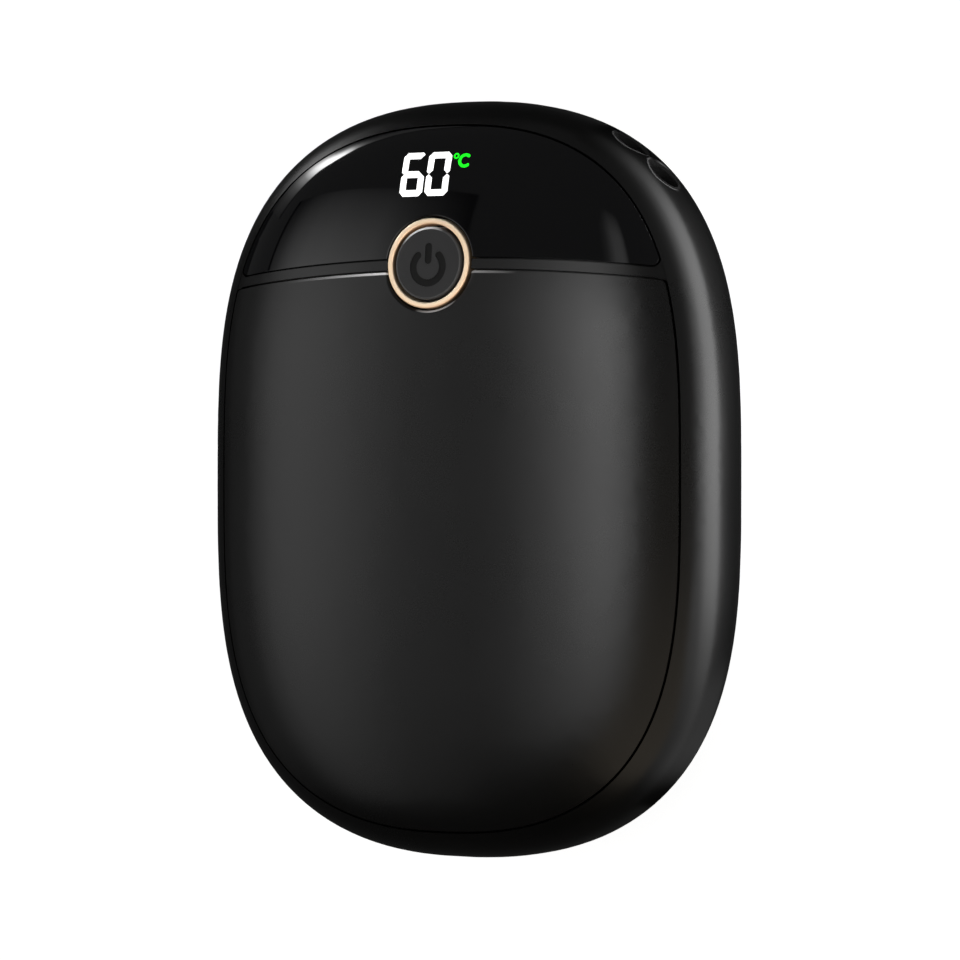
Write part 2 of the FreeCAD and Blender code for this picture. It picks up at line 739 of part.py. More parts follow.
def digit_segments():
    made = []
    across = DIGIT_WIDTH - DIGIT_STROKE
    along = (DIGIT_HEIGHT - DIGIT_STROKE) / 2
    for column in (-1, 1):
        x = DISPLAY_X + DIGIT_SHIFT / 2 + column * DIGIT_PITCH / 2
        for row in (-1, 0, 1):
            made.append(segment(x, DISPLAY_Y + row * along, across - DIGIT_SPLIT, False))
        for side in (-1, 1):
            for row in (-1, 1):
                y = DISPLAY_Y + row * along / 2
                made.append(segment(x + side * across / 2, y, along - DIGIT_SPLIT, True))
    return Part.makeCompound(made)


def unit_segments():
    """Degree ring and an open square letter of four strokes."""
    top = DISPLAY_Y + DIGIT_HEIGHT / 2
    x = DISPLAY_X + DIGIT_SHIFT / 2 + DIGIT_PITCH + UNIT_X - UNIT_DOT_X / 2
    dot_centre = Vector(x - UNIT_WIDTH, top - UNIT_DOT_RADIUS, SEGMENT_BASE)
    dot = Part.makeCylinder(UNIT_DOT_RADIUS, SEGMENT_THICKNESS, dot_centre)
    dot = dot.cut(Part.makeCylinder(UNIT_DOT_RADIUS - UNIT_STROKE / 2, SEGMENT_THICKNESS, dot_centre))
    middle = top - UNIT_HEIGHT / 2
    letter = box(x, middle, SEGMENT_BASE, UNIT_WIDTH, UNIT_HEIGHT, SEGMENT_THICKNESS)
    inner_width = UNIT_WIDTH - UNIT_STROKE
    inner = box(x + UNIT_STROKE, middle, SEGMENT_BASE, inner_width, UNIT_HEIGHT - 2 * UNIT_STROKE, SEGMENT_THICKNESS)
    return Part.makeCompound([dot, letter.cut(inner)])


def controller_chip():
    return box(CHIP_X, CHIP_Y, BOARD_TOP + GLUE_LINE, CHIP_SIDE, CHIP_SIDE, CHIP_HEIGHT)


def power_coil():
    return rounded_upright(box(COIL_X, COIL_Y, BOARD_TOP + GLUE_LINE, COIL_SIDE, COIL_SIDE, COIL_HEIGHT), COIL_EDGE)


def capacitors():
    made = []
    for side in (-1, 1):
        for place in range(CAP_COUNT // 2):
            x = side * (CAP_X + CAP_PITCH * (place + 1))
            made.append(box(x, CAP_Y, BOARD_TOP + GLUE_LINE, CAP_WIDTH, CAP_LENGTH, CAP_HEIGHT))
    return Part.makeCompound(made)


# Charging socket

def usb_mouth():
    return HALF_LENGTH - USB_RECESS


def usb_shell():
    back = usb_mouth() - USB_LENGTH
    tube = stadium(USB_WIDTH, USB_HEIGHT - GLUE_LINE, back, usb_mouth())
    bore = stadium(USB_WIDTH - 2 * USB_WALL, USB_HEIGHT - GLUE_LINE - 2 * USB_WALL, back - OVERRUN,
                   usb_mouth() + OVERRUN)
    return tube.cut(bore)


def usb_core():
    back = usb_mouth() - USB_LENGTH
    gap = 2 * (USB_WALL + GLUE_LINE)
    block = stadium(USB_WIDTH - gap, USB_HEIGHT - GLUE_LINE - gap, back, back + USB_CORE_LENGTH)
    low = MID - USB_TONGUE_HEIGHT / 2
    front = back + USB_CORE_LENGTH + USB_TONGUE_LENGTH
    return block.fuse(span(0, back, front, low, USB_TONGUE_WIDTH, USB_TONGUE_HEIGHT)).removeSplitter()


def usb_contacts():
    made = []
    front = usb_mouth() - USB_LENGTH + USB_CORE_LENGTH + USB_TONGUE_LENGTH - USB_CONTACT_WIDTH
    for place in range(USB_CONTACT_COUNT):
        x = (place - (USB_CONTACT_COUNT - 1) / 2) * USB_CONTACT_PITCH
        for low in (MID + USB_TONGUE_HEIGHT / 2, MID - USB_TONGUE_HEIGHT / 2 - USB_CONTACT_HEIGHT):
            made.append(span(x, front - USB_CONTACT_LENGTH, front, low, USB_CONTACT_WIDTH, USB_CONTACT_HEIGHT))
    return Part.makeCompound(made)


# Battery group

def battery_cell():
    cell = span(0, CELL_LOW_Y, CELL_TOP_Y, CELL_BACK, CELL_WIDTH, CELL_THICKNESS)
    return cell.makeFillet(CELL_EDGE, cell.Edges)


def guard_y():
    return CELL_TOP_Y + TRAY_TAB_ROOM - GUARD_THICKNESS - GLUE_LINE


def battery_tabs():
    made = []
    for side in (-1, 1):
        x = side * TAB_SPREAD / 2
        low = MID - TAB_THICKNESS / 2
        made.append(span(x, CELL_TOP_Y + GLUE_LINE, guard_y() - GLUE_LINE, low, TAB_WIDTH, TAB_THICKNESS))
    return Part.makeCompound(made)


def protection_board():
    low = MID - CELL_THICKNESS / 2 + TRAY_FLOOR
    return span(0, guard_y(), guard_y() + GUARD_THICKNESS, low, GUARD_WIDTH, GUARD_HEIGHT)


def battery_tray():
    height = MID + TRAY_WALL_TOP - TRAY_BACK
    tray = span(0, TRAY_LOW_Y, TRAY_TOP_Y, TRAY_BACK, 2 * TRAY_HALF_WIDTH, height)
    tray = rounded_upright(tray, TRAY_CORNER)
    room = span(0, TRAY_LOW_Y + TRAY_WALL, TRAY_TOP_Y - TRAY_WALL, TRAY_BACK + TRAY_FLOOR,
                2 * (TRAY_HALF_WIDTH - TRAY_WALL), height)
    room = rounded_upright(room, CELL_EDGE)
    for spot, out in tray_post_spots():
        low = MID + EAR_TOP - EAR_THICKNESS
        side = math.copysign(1, spot.x)
        inner = side * (TRAY_HALF_WIDTH - TRAY_WALL / 2)
        arm = box((inner + spot.x) / 2, spot.y, low, abs(spot.x - inner), 2 * EAR_RADIUS, EAR_THICKNESS)
        tip = Part.makeCylinder(EAR_RADIUS, EAR_THICKNESS, spot + UP * low)
        tray = tray.fuse(arm).fuse(tip)
    tray = tray.cut(room)
    tray = tray.cut(box(0, TRAY_TOP_Y, MID - CELL_THICKNESS / 2 + TRAY_FLOOR, TRAY_NOTCH, 2 * TRAY_WALL + GLUE_LINE,
                        CELL_THICKNESS))
    for spot, out in tray_post_spots():
        tray = tray.cut(Part.makeCylinder(SCREW_RADIUS + SCREW_HOLE_GAP, CROWN_DEPTH, spot))
    return tray


# Heaters and insulation

def film(layer):
    """Heater film behind a plate, kept clear of the button well."""
    top = PLATE_THICKNESS + GLUE_LINE
    outline = oval(FILM_INSET).common(span(0, -LENGTH, FILM_TOP_Y, -OVERRUN, WIDTH, CROWN_DEPTH + 2 * OVERRUN))
    outline = outline.cut(button_column(RING_RADIUS + FIT + WELL_WALL + TAPE_MARGIN))
    return outline.common(layer(top, top + FILM_THICKNESS))


def foam(layer, low, high):
    """Foam block that fills in between a heater film and a flat face of the battery group."""
    top = PLATE_THICKNESS + 2 * GLUE_LINE + FILM_THICKNESS
    outline = oval_prism(FOAM_INSET, low, high)
    half = CELL_WIDTH / 2
    outline = outline.common(span(0, CELL_LOW_Y, FOAM_TOP_Y, low, 2 * half, high - low))
    return outline.common(layer(top, top + HALF_DEPTH))


# Leads

def swept(points, bend, radius):
    """Round lead along straight runs joined by tangent arcs."""
    edges = []
    start = points[0]
    for corner, after in zip(points[1:-1], points[2:]):
        back = (start - corner).normalize()
        ahead = (after - corner).normalize()
        first, last = corner + back * bend, corner + ahead * bend
        centre = corner + back * bend + ahead * bend
        middle = centre + (corner - centre).normalize() * bend
        edges.append(Part.LineSegment(start, first).toShape())
        edges.append(Part.Arc(first, middle, last).toShape())
        start = last
    edges.append(Part.LineSegment(start, points[-1]).toShape())
    path = Part.Wire(edges)
    circle = Part.Wire([Part.makeCircle(radius, points[0], points[1] - points[0])])
    return path.makePipeShell([circle], True, False)


def battery_lead(side):
    x = side * BATTERY_LEAD_X
    level = MID - BATTERY_LEAD_DROP
    start = Vector(x, guard_y() + GUARD_THICKNESS + GLUE_LINE, level)
    corner = Vector(x, BATTERY_LEAD_END_Y, level)
    return swept([start, corner, Vector(x, BATTERY_LEAD_END_Y, BOARD_BOTTOM - GLUE_LINE)],
                 BATTERY_LEAD_BEND, LEAD_RADIUS)


def film_back(y):
    """How far the inner face of a heater film stands from the middle plane at a lead."""
    return crown_rise(HEATER_LEAD_X, y) - PLATE_THICKNESS - FILM_THICKNESS - 2 * GLUE_LINE


def heater_leads(front):
    level = film_back(HEATER_LEAD_END_Y) - HEATER_LEAD_RADIUS - FOAM_GAP
    made = []
    for side in (-1, 1):
        x = side * HEATER_LEAD_X
        z = MID + level if front else MID - level
        end = BOARD_TOP + GLUE_LINE if front else BOARD_BOTTOM - GLUE_LINE
        points = [Vector(x, HEATER_LEAD_START_Y, z), Vector(x, HEATER_LEAD_END_Y, z),
                  Vector(x, HEATER_LEAD_END_Y, end)]
        made.append(swept(points, HEATER_LEAD_BEND, HEATER_LEAD_RADIUS))
    return Part.makeCompound(made)


def thermistor():
    top = MID + film_back(HEATER_LEAD_END_Y) - FOAM_GAP
    bead = box(BEAD_X, HEATER_LEAD_END_Y, top - BEAD_HEIGHT, BEAD_WIDTH, BEAD_LENGTH, BEAD_HEIGHT)
    bead = rounded_upright(bead, BEAD_LEAD_RADIUS)
    length = top - BEAD_HEIGHT / 2 - BOARD_TOP - GLUE_LINE
    for side in (-1, 1):
        foot = Vector(BEAD_X + side * BEAD_LEAD_SPREAD / 2, HEATER_LEAD_END_Y, BOARD_TOP + GLUE_LINE)
        bead = bead.fuse(Part.makeCylinder(BEAD_LEAD_RADIUS, length, foot))
    return bead


NODES = {
    "frame": frame(),
    "front_heat_plate": front_heat_plate(),
    "rear_heat_plate": rear_heat_plate(),
    "display_window": display_window(),
    "front_plate_tape": tape(plate_column, front_layer, PLATE_THICKNESS),
    "rear_plate_tape": tape(rear_column, rear_layer, PLATE_THICKNESS),
    "window_tape": tape(window_column, front_layer, WINDOW_THICKNESS),
    "button_ring": button_ring(),
    "power_button": power_button(),
    "power_mark": power_mark(),
    "switch_body": switch_body(),
    "switch_cover": switch_cover(),
    "switch_dome": switch_dome(),
    "switch_plunger": switch_plunger(),
    "main_board": main_board(),
    "board_screws": screws(board_post_spots(), BOARD_BOTTOM, BOARD_THICKNESS),
    "display_module": display_module(),
    "light_gasket": light_gasket(),
    "digit_segments": digit_segments(),
    "unit_segments": unit_segments(),
    "controller_chip": controller_chip(),
    "power_coil": power_coil(),
    "capacitors": capacitors(),
    "usb_shell": usb_shell(),
    "usb_core": usb_core(),
    "usb_contacts": usb_contacts(),
    "battery_cell": battery_cell(),
    "battery_tabs": battery_tabs(),
    "protection_board": protection_board(),
    "battery_tray": battery_tray(),
    "tray_screws": screws(tray_post_spots(), MID + EAR_TOP - EAR_THICKNESS, EAR_THICKNESS),
    "front_heating_film": film(front_layer),
    "rear_heating_film": film(rear_layer),
    "front_foam": foam(front_layer, MID + CELL_THICKNESS / 2 + FOAM_GAP, CROWN_DEPTH),
    "rear_foam": foam(rear_layer, 0, TRAY_BACK - FOAM_GAP),
    "red_battery_lead": battery_lead(-1),
    "black_battery_lead": battery_lead(1),
    "front_heater_leads": heater_leads(True),
    "rear_heater_leads": heater_leads(False),
    "thermistor": thermistor(),
}

for node_name, node_shape in NODES.items():
    save(node_name, node_shape)
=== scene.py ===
import math

import bmesh
import bpy
from mathutils import Matrix, Vector


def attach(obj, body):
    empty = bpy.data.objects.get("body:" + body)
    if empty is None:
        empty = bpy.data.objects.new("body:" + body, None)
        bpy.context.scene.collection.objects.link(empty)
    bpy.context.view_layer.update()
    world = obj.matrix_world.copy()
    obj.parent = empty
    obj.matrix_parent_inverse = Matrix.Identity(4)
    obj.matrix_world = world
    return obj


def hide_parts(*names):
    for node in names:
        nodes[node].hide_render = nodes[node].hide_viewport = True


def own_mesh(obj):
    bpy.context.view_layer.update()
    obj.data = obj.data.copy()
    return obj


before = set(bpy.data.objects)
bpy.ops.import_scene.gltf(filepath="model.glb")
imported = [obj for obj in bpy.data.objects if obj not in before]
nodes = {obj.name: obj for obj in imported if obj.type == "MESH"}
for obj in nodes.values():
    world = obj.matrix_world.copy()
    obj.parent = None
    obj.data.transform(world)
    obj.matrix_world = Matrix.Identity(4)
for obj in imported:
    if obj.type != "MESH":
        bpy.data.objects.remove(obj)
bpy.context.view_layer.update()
scene = bpy.context.scene
MM = 0.001

# The crowned body of the warmer, in mm, as its solids have it.
MID = 13.7
HALF_WIDTH, WIDTH_POWER = 35.5, 2.36
HALF_LENGTH, LENGTH_POWER = 48.0, 3.16
CROWN_RISE, DEPTH_POWER = 14.0, 2.8
BUTTON_CENTRE = (0.0, 26.9)
BUTTON_RADIUS, HOLE_RADIUS, RING_MIDDLE = 4.6, 5.9, 5.31
ARCH_CENTRE_Y, PLATE_TOP_RADIUS = -253.2, 279.13
STRAP_SPOT, STRAP_TURN, STRAP_HEIGHT = (24.76, 40.24), math.radians(47.85), 14.6
MOUTH_RADIUS, MOUTH_OFFSET = 2.65, 2.975


def crown_height(x, y):
    """Height of the front crown over a point of the mid-plane, in mm."""
    left = 1 - (abs(x) / HALF_WIDTH) ** WIDTH_POWER - (abs(y) / HALF_LENGTH) ** LENGTH_POWER
    return MID + CROWN_RISE * left ** (1 / DEPTH_POWER)


def slope(place, half, power):
    """How fast one term of the crown's formula grows."""
    return math.copysign(power * (abs(place) / half) ** (power - 1) / half, place)


def crown_normal(x, y):
    """The way the front crown faces over a point of the mid-plane."""
    rise = crown_height(x, y) - MID
    return Vector((
        slope(x, HALF_WIDTH, WIDTH_POWER),
        slope(y, HALF_LENGTH, LENGTH_POWER),
        slope(rise, CROWN_RISE, DEPTH_POWER),
    )).normalized()


def tint(*screen):
    """A colour as it is seen on a screen, 0 to 255, as the shader's own linear numbers by the sRGB curve."""
    shares = [c / 255 for c in screen]
    return tuple(s / 12.92 if s <= 0.04045 else ((s + 0.055) / 1.055) ** 2.4 for s in shares) + (1.0,)


def in_scene(name, data):
    """A new object in the scene."""
    thing = bpy.data.objects.new(name, data)
    scene.collection.objects.link(thing)
    return thing


def from_bmesh(name, mesh, material):
    """A new object in the scene from a drawn mesh."""
    data = bpy.data.meshes.new(name)
    mesh.to_mesh(data)
    mesh.free()
    data.materials.append(material)
    return in_scene(name, data)


# Steps that node trees share.

MIX_FIRST, MIX_SECOND, MIX_RESULT = 6, 7, 2  # a Mix node's sockets for colours


def feed(tree, socket, value):
    """Sets a number or a colour on a socket, or joins another socket to it."""
    if isinstance(value, bpy.types.NodeSocket):
        tree.links.new(value, socket)
    else:
        socket.default_value = value


def calculate(tree, operation, *values):
    """One step of arithmetic on numbers and sockets."""
    node = tree.nodes.new("ShaderNodeMath")
    node.operation = operation
    for socket, value in zip(node.inputs, values):
        feed(tree, socket, value)
    return node.outputs[0]


def spread(tree, value, low, high, to_low, to_high):
    """Maps a value from one range to another, held at its ends."""
    node = tree.nodes.new("ShaderNodeMapRange")
    for socket, given in zip(node.inputs, (value, low, high, to_low, to_high)):
        feed(tree, socket, given)
    return node.outputs[0]


def object_point(tree):
    return tree.nodes.new("ShaderNodeTexCoord").outputs["Object"]


def object_axes(tree):
    """The object's X, Y and Z as sockets."""
    parts = tree.nodes.new("ShaderNodeSeparateXYZ")
    tree.links.new(object_point(tree), parts.inputs[0])
    return parts.outputs


def noise(tree, where, scale, detail, roughness):
    node = tree.nodes.new("ShaderNodeTexNoise")
    for label, value in (("Vector", where), ("Scale", scale), ("Detail", detail), ("Roughness", roughness)):
        feed(tree, node.inputs[label], value)
    return node.outputs["Fac"]


def cells(tree, scale):
    """Distance from the nearest of many scattered points."""
    node = tree.nodes.new("ShaderNodeTexVoronoi")
    node.inputs["Scale"].default_value = scale
    tree.links.new(object_point(tree), node.inputs["Vector"])
    return node.outputs["Distance"]


def blend_colours(tree, share, first, second):
    """Goes from the first colour to the second; each is four numbers or a socket."""
    node = tree.nodes.new("ShaderNodeMix")
    node.data_type = "RGBA"
    tree.links.new(share, node.inputs["Factor"])
    feed(tree, node.inputs[MIX_FIRST], first)
    feed(tree, node.inputs[MIX_SECOND], second)
    return node.outputs[MIX_RESULT]


def from_axis(tree, x, y):
    """Offsets from an upright axis at x and y in mm, the height, and the distance from the axis."""
    axes = object_axes(tree)
    across = calculate(tree, "SUBTRACT", axes["X"], x * MM)
    along_y = calculate(tree, "SUBTRACT", axes["Y"], y * MM)
    square = calculate(tree, "MULTIPLY", across, across)
    away = calculate(tree, "SQRT", calculate(tree, "MULTIPLY_ADD", along_y, along_y, square))
    return across, along_y, axes["Z"], away


# Surface effects that several finishes share.

FLOAT, VECTOR = "NodeSocketFloat", "NodeSocketVector"
NOISE_RANGE = (0.3, 0.7)  # nearly all of a noise lies in it
PIMPLE_SHARE = 0.35  # of the uneven gloss; the mottle has the rest
ROUND_STRETCH = 1.5  # how fast turned lines change round their axis


def effect(name, inputs, outputs, kind=FLOAT):
    """An empty shader node group with its sockets, and its own input and output nodes."""
    group = bpy.data.node_groups.new(name, "ShaderNodeTree")
    for label in inputs:
        group.interface.new_socket(label, in_out="INPUT", socket_type=kind)
    for label in outputs:
        group.interface.new_socket(label, in_out="OUTPUT", socket_type=FLOAT)
    return group, group.nodes.new("NodeGroupInput"), group.nodes.new("NodeGroupOutput")


def fine_grain():
    """Moulded or painted skin: fine pimples for the bump, slow mottle for colour and gloss."""
    group, given, made = effect(
        "fine grain", ("Grain", "Mottle", "Gloss low", "Gloss high"), ("Tone", "Roughness", "Height")
    )
    where = object_point(group)
    pimples = noise(group, where, given.outputs["Grain"], 2.0, 0.6)
    slow = noise(group, where, given.outputs["Mottle"], 4.0, 0.6)
    tone = spread(group, slow, *NOISE_RANGE, 0.0, 1.0)
    mottled = calculate(group, "MULTIPLY", tone, 1 - PIMPLE_SHARE)
    both = calculate(group, "MULTIPLY_ADD", pimples, PIMPLE_SHARE, mottled)
    gloss = spread(group, both, 0.0, 1.0, given.outputs["Gloss low"], given.outputs["Gloss high"])
    group.links.new(tone, made.inputs["Tone"])
    group.links.new(gloss, made.inputs["Roughness"])
    group.links.new(pimples, made.inputs["Height"])
    return group


def show_lines(group, made, where, detail, roughness):
    """Puts out lines as a tone and as a height."""
    lines = noise(group, where, 1.0, detail, roughness)
    group.links.new(spread(group, lines, *NOISE_RANGE, 0.0, 1.0), made.inputs["Tone"])
    group.links.new(lines, made.inputs["Height"])


def brushed_lines():
    """Fine straight drawing lines of sheet metal."""
    group, given, made = effect("brushed lines", ("Stretch",), ("Tone", "Height"), VECTOR)
    stretched = group.nodes.new("ShaderNodeVectorMath")
    stretched.operation = "MULTIPLY"
    group.links.new(object_point(group), stretched.inputs[0])
    group.links.new(given.outputs["Stretch"], stretched.inputs[1])
    show_lines(group, made, stretched.outputs[0], 3.0, 0.7)
    return group


def turned_lines():
    """Fine rings round the button's axis, as on turned trim."""
    group, given, made = effect("turned lines", ("Lines",), ("Tone", "Height"))
    across, along_y, height, away = from_axis(group, *BUTTON_CENTRE)
    angle = calculate(group, "ARCTAN2", along_y, across)
    rings = group.nodes.new("ShaderNodeCombineXYZ")
    for label, value, scale in (
        ("X", away, given.outputs["Lines"]), ("Y", angle, ROUND_STRETCH), ("Z", height, given.outputs["Lines"])
    ):
        group.links.new(calculate(group, "MULTIPLY", value, scale), rings.inputs[label])
    show_lines(group, made, rings.outputs[0], 2.0, 0.6)
    return group


def button_rims():
    """Places round the button: how far out, and how much to the side that Turn points to, from -1 to 1."""
    group, given, made = effect("button rims", ("Turn",), ("Away", "Side"))
    across, along_y, _, away = from_axis(group, *BUTTON_CENTRE)
    angle = calculate(group, "ARCTAN2", along_y, across)
    side = calculate(group, "COSINE", calculate(group, "SUBTRACT", angle, given.outputs["Turn"]))
    group.links.new(away, made.inputs["Away"])
    group.links.new(side, made.inputs["Side"])
    return group


GRAIN, BRUSHED, TURNED, RIMS = fine_grain(), brushed_lines(), turned_lines(), button_rims()


# Finishes. Each one is a Principled shader with its colour, gloss and bump worked out over the surface.

GRAIN_DEPTH = 0.02 * MM
LINES_BUMP, LINES_DEPTH = 0.15, 0.01 * MM
LIT_STRENGTH, LIT_UNEVEN = 1.0, 0.93
BAND_SOFT = 0.03
# Near-white colour of the painted highlights on edges and rims.
PAINTED_HIGHLIGHT = tint(242, 242, 244)


def new_finish(name, metal=0.0, specular=0.5):
    material = bpy.data.materials.new(name)
    material.use_nodes = True
    tree = material.node_tree
    shader = tree.nodes["Principled BSDF"]
    shader.inputs["Metallic"].default_value = metal
    shader.inputs["Specular IOR Level"].default_value = specular
    return material, tree, shader


def placed(tree, group, **values):
    """A shared effect in a finish, with its own values."""
    node = tree.nodes.new("ShaderNodeGroup")
    node.node_tree = group
    for label, value in values.items():
        node.inputs[label.replace("_", " ")].default_value = value
    return node


def skin_of(tree, grain, mottle, gloss):
    return placed(tree, GRAIN, Grain=grain, Mottle=mottle, Gloss_low=gloss[0], Gloss_high=gloss[1])


def surface(tree, shader, colour, gloss):
    tree.links.new(colour, shader.inputs["Base Color"])
    tree.links.new(gloss, shader.inputs["Roughness"])


def so_far(shader, label):
    """What a socket of the shader is joined to by now."""
    return shader.inputs[label].links[0].from_socket


def raise_surface(tree, shader, height, strength, depth):
    bump = tree.nodes.new("ShaderNodeBump")
    bump.inputs["Strength"].default_value = strength
    bump.inputs["Distance"].default_value = depth
    tree.links.new(height, bump.inputs["Height"])
    tree.links.new(bump.outputs["Normal"], shader.inputs["Normal"])


def grained(name, dark, light, gloss, grain, mottle, bump, specular=0.5):
    """Plastic, paint, rubber or film: two close colours, uneven gloss and a fine grain."""
    material, tree, shader = new_finish(name, specular=specular)
    skin = skin_of(tree, grain, mottle, gloss)
    colour = blend_colours(tree, skin.outputs["Tone"], tint(*dark), tint(*light))
    surface(tree, shader, colour, skin.outputs["Roughness"])
    raise_surface(tree, shader, skin.outputs["Height"], bump, GRAIN_DEPTH)
    return material, tree, shader


def metal_sheet(name, dark, light, gloss, stretch):
    """Drawn or rolled metal with fine lines along it."""
    material, tree, shader = new_finish(name, metal=1.0)
    lines = placed(tree, BRUSHED, Stretch=stretch)
    colour = blend_colours(tree, lines.outputs["Tone"], tint(*dark), tint(*light))
    surface(tree, shader, colour, spread(tree, lines.outputs["Tone"], 0.0, 1.0, *gloss))
    raise_surface(tree, shader, lines.outputs["Height"], LINES_BUMP, LINES_DEPTH)
    return material


def lit(name, screen):
    """A lit display bar: even light, a little weaker towards the grain of its diffuser."""
    material, tree, shader = grained(name, screen, screen, (0.08, 0.12), 5000.0, 400.0, 0.02)
    tone = skin_of(tree, 5000.0, 900.0, (0.0, 1.0)).outputs["Tone"]
    colour = tint(*screen)
    weaker = tuple(c * LIT_UNEVEN for c in colour[:3]) + (1.0,)
    tree.links.new(blend_colours(tree, tone, weaker, colour), shader.inputs["Emission Color"])
    shader.inputs["Emission Strength"].default_value = LIT_STRENGTH
    return material


def ring_band(tree, away, inner, outer):
    """1 between two distances from an axis, in mm, with soft ends."""
    begun = spread(tree, away, (inner - BAND_SOFT) * MM, (inner + BAND_SOFT) * MM, 0.0, 1.0)
    ended = spread(tree, away, (outer - BAND_SOFT) * MM, (outer + BAND_SOFT) * MM, 1.0, 0.0)
    return calculate(tree, "MULTIPLY", begun, ended)


GOLD_DEEP, GOLD_PALE, GOLD_GLOSS = tint(246, 208, 170), tint(255, 240, 214), (0.48, 0.54)
GOLD_LINES, GOLD_LINES_SHARE = 7000.0, 0.15
# Painted highlight: the ring's slopes that face this turn are painted paler, as if lit from there.
GOLD_HIGHLIGHT_TURN, GOLD_HIGHLIGHT_REACH, GOLD_HIGHLIGHT_SHARE = math.radians(105), 0.8, 0.85
GOLD_HALF_WIDTH = 0.35


def rose_gold():
    """Rose gold trim with a painted highlight: paler on the slopes that face the display end."""
    material, tree, shader = new_finish("rose gold trim", metal=1.0)
    tone = placed(tree, TURNED, Lines=GOLD_LINES).outputs["Tone"]
    rims = placed(tree, RIMS, Turn=GOLD_HIGHLIGHT_TURN)
    inner, outer = (RING_MIDDLE - GOLD_HALF_WIDTH) * MM, (RING_MIDDLE + GOLD_HALF_WIDTH) * MM
    outward = spread(tree, rims.outputs["Away"], inner, outer, -1.0, 1.0)
    toward = calculate(tree, "MULTIPLY", outward, rims.outputs["Side"])
    # Painted highlight on the slopes that face the display end.
    gold_highlight = spread(tree, toward, -GOLD_HIGHLIGHT_REACH, GOLD_HIGHLIGHT_REACH, 0.0, GOLD_HIGHLIGHT_SHARE)
    share = calculate(tree, "MULTIPLY_ADD", tone, GOLD_LINES_SHARE, gold_highlight)
    surface(tree, shader, blend_colours(tree, share, GOLD_DEEP, GOLD_PALE), spread(tree, tone, 0.0, 1.0, *GOLD_GLOSS))
    return material


# Where a highlight is painted on the plate: how far in from its upper line and from where to where along it, and how
# far out from the button's hole and on which side of it. Lengths are in mm.
UPPER_HIGHLIGHT_IN, UPPER_HIGHLIGHT_SHARE = (0.33, 0.25), 0.85
UPPER_HIGHLIGHT_LEFT, UPPER_HIGHLIGHT_RIGHT = (-22.0, -7.5), (-4.0, 12.0)
ARC_HIGHLIGHT_OUT, ARC_HIGHLIGHT_SHARE = (0.04, 0.3), 0.5
ARC_HIGHLIGHT_TURN, ARC_HIGHLIGHT_SIDE = math.radians(282), (0.88, 0.995)


def heat_plate():
    """Matte black coat with a near-white painted highlight along the plate's upper edge and its round edge by the
    button.
    """
    material, tree, shader = grained(
        "matte black heat plate", (7, 7, 7), (9, 9, 9), (0.26, 0.3), 3400.0, 50.0, 0.06, 0.3
    )
    across, _, height, away = from_axis(tree, 0.0, ARCH_CENTRE_Y)
    begun, full = [(PLATE_TOP_RADIUS - inward) * MM for inward in UPPER_HIGHLIGHT_IN]
    upper = spread(tree, away, begun, full, 0.0, UPPER_HIGHLIGHT_SHARE)
    left = spread(tree, across, UPPER_HIGHLIGHT_LEFT[0] * MM, UPPER_HIGHLIGHT_LEFT[1] * MM, 0.0, 1.0)
    right = spread(tree, across, UPPER_HIGHLIGHT_RIGHT[0] * MM, UPPER_HIGHLIGHT_RIGHT[1] * MM, 1.0, 0.0)
    shown = calculate(tree, "MULTIPLY", calculate(tree, "MULTIPLY", left, left), right)
    upper = calculate(tree, "MULTIPLY", upper, shown)
    rims = placed(tree, RIMS, Turn=ARC_HIGHLIGHT_TURN)
    side = spread(tree, rims.outputs["Side"], *ARC_HIGHLIGHT_SIDE, 0.0, ARC_HIGHLIGHT_SHARE)
    edge = ring_band(tree, rims.outputs["Away"], HOLE_RADIUS + ARC_HIGHLIGHT_OUT[0], HOLE_RADIUS + ARC_HIGHLIGHT_OUT[1])
    arc = calculate(tree, "MULTIPLY", side, edge)
    front = calculate(tree, "GREATER_THAN", height, MID * MM)
    # Painted highlight on the upper edge and round the hole, on the front plate only.
    highlighted = calculate(tree, "MULTIPLY", calculate(tree, "MAXIMUM", upper, arc), front)
    coat = so_far(shader, "Base Color")
    tree.links.new(blend_colours(tree, highlighted, coat, PAINTED_HIGHLIGHT), shader.inputs["Base Color"])
    return material


# The painted highlight on the cap's rounded edge: from where to where about its radius, in mm, and on which side.
CAP_HIGHLIGHT_EDGE = (-0.3, 0.1)
CAP_HIGHLIGHT_TURN, CAP_HIGHLIGHT_SIDE, CAP_HIGHLIGHT_SHARES = math.radians(107), (0.76, 0.99), (0.05, 0.9)


def button_cap():
    """Satin black cap with a painted highlight on its rounded edge, most of all towards the display end."""
    material, tree, shader = grained(
        "satin black button cap", (30, 30, 31), (36, 36, 37), (0.42, 0.48), 3600.0, 150.0, 0.06, 0.3
    )
    rims = placed(tree, RIMS, Turn=CAP_HIGHLIGHT_TURN)
    edge = ring_band(tree, rims.outputs["Away"], BUTTON_RADIUS + CAP_HIGHLIGHT_EDGE[0], BUTTON_RADIUS + CAP_HIGHLIGHT_EDGE[1])
    # Painted highlight on the cap's edge, strongest on the side that faces the display end.
    cap_highlight = calculate(tree, "MULTIPLY", edge, spread(tree, rims.outputs["Side"], *CAP_HIGHLIGHT_SIDE, *CAP_HIGHLIGHT_SHARES))
    skin = so_far(shader, "Base Color")
    tree.links.new(blend_colours(tree, cap_highlight, skin, PAINTED_HIGHLIGHT), shader.inputs["Base Color"])
    return material


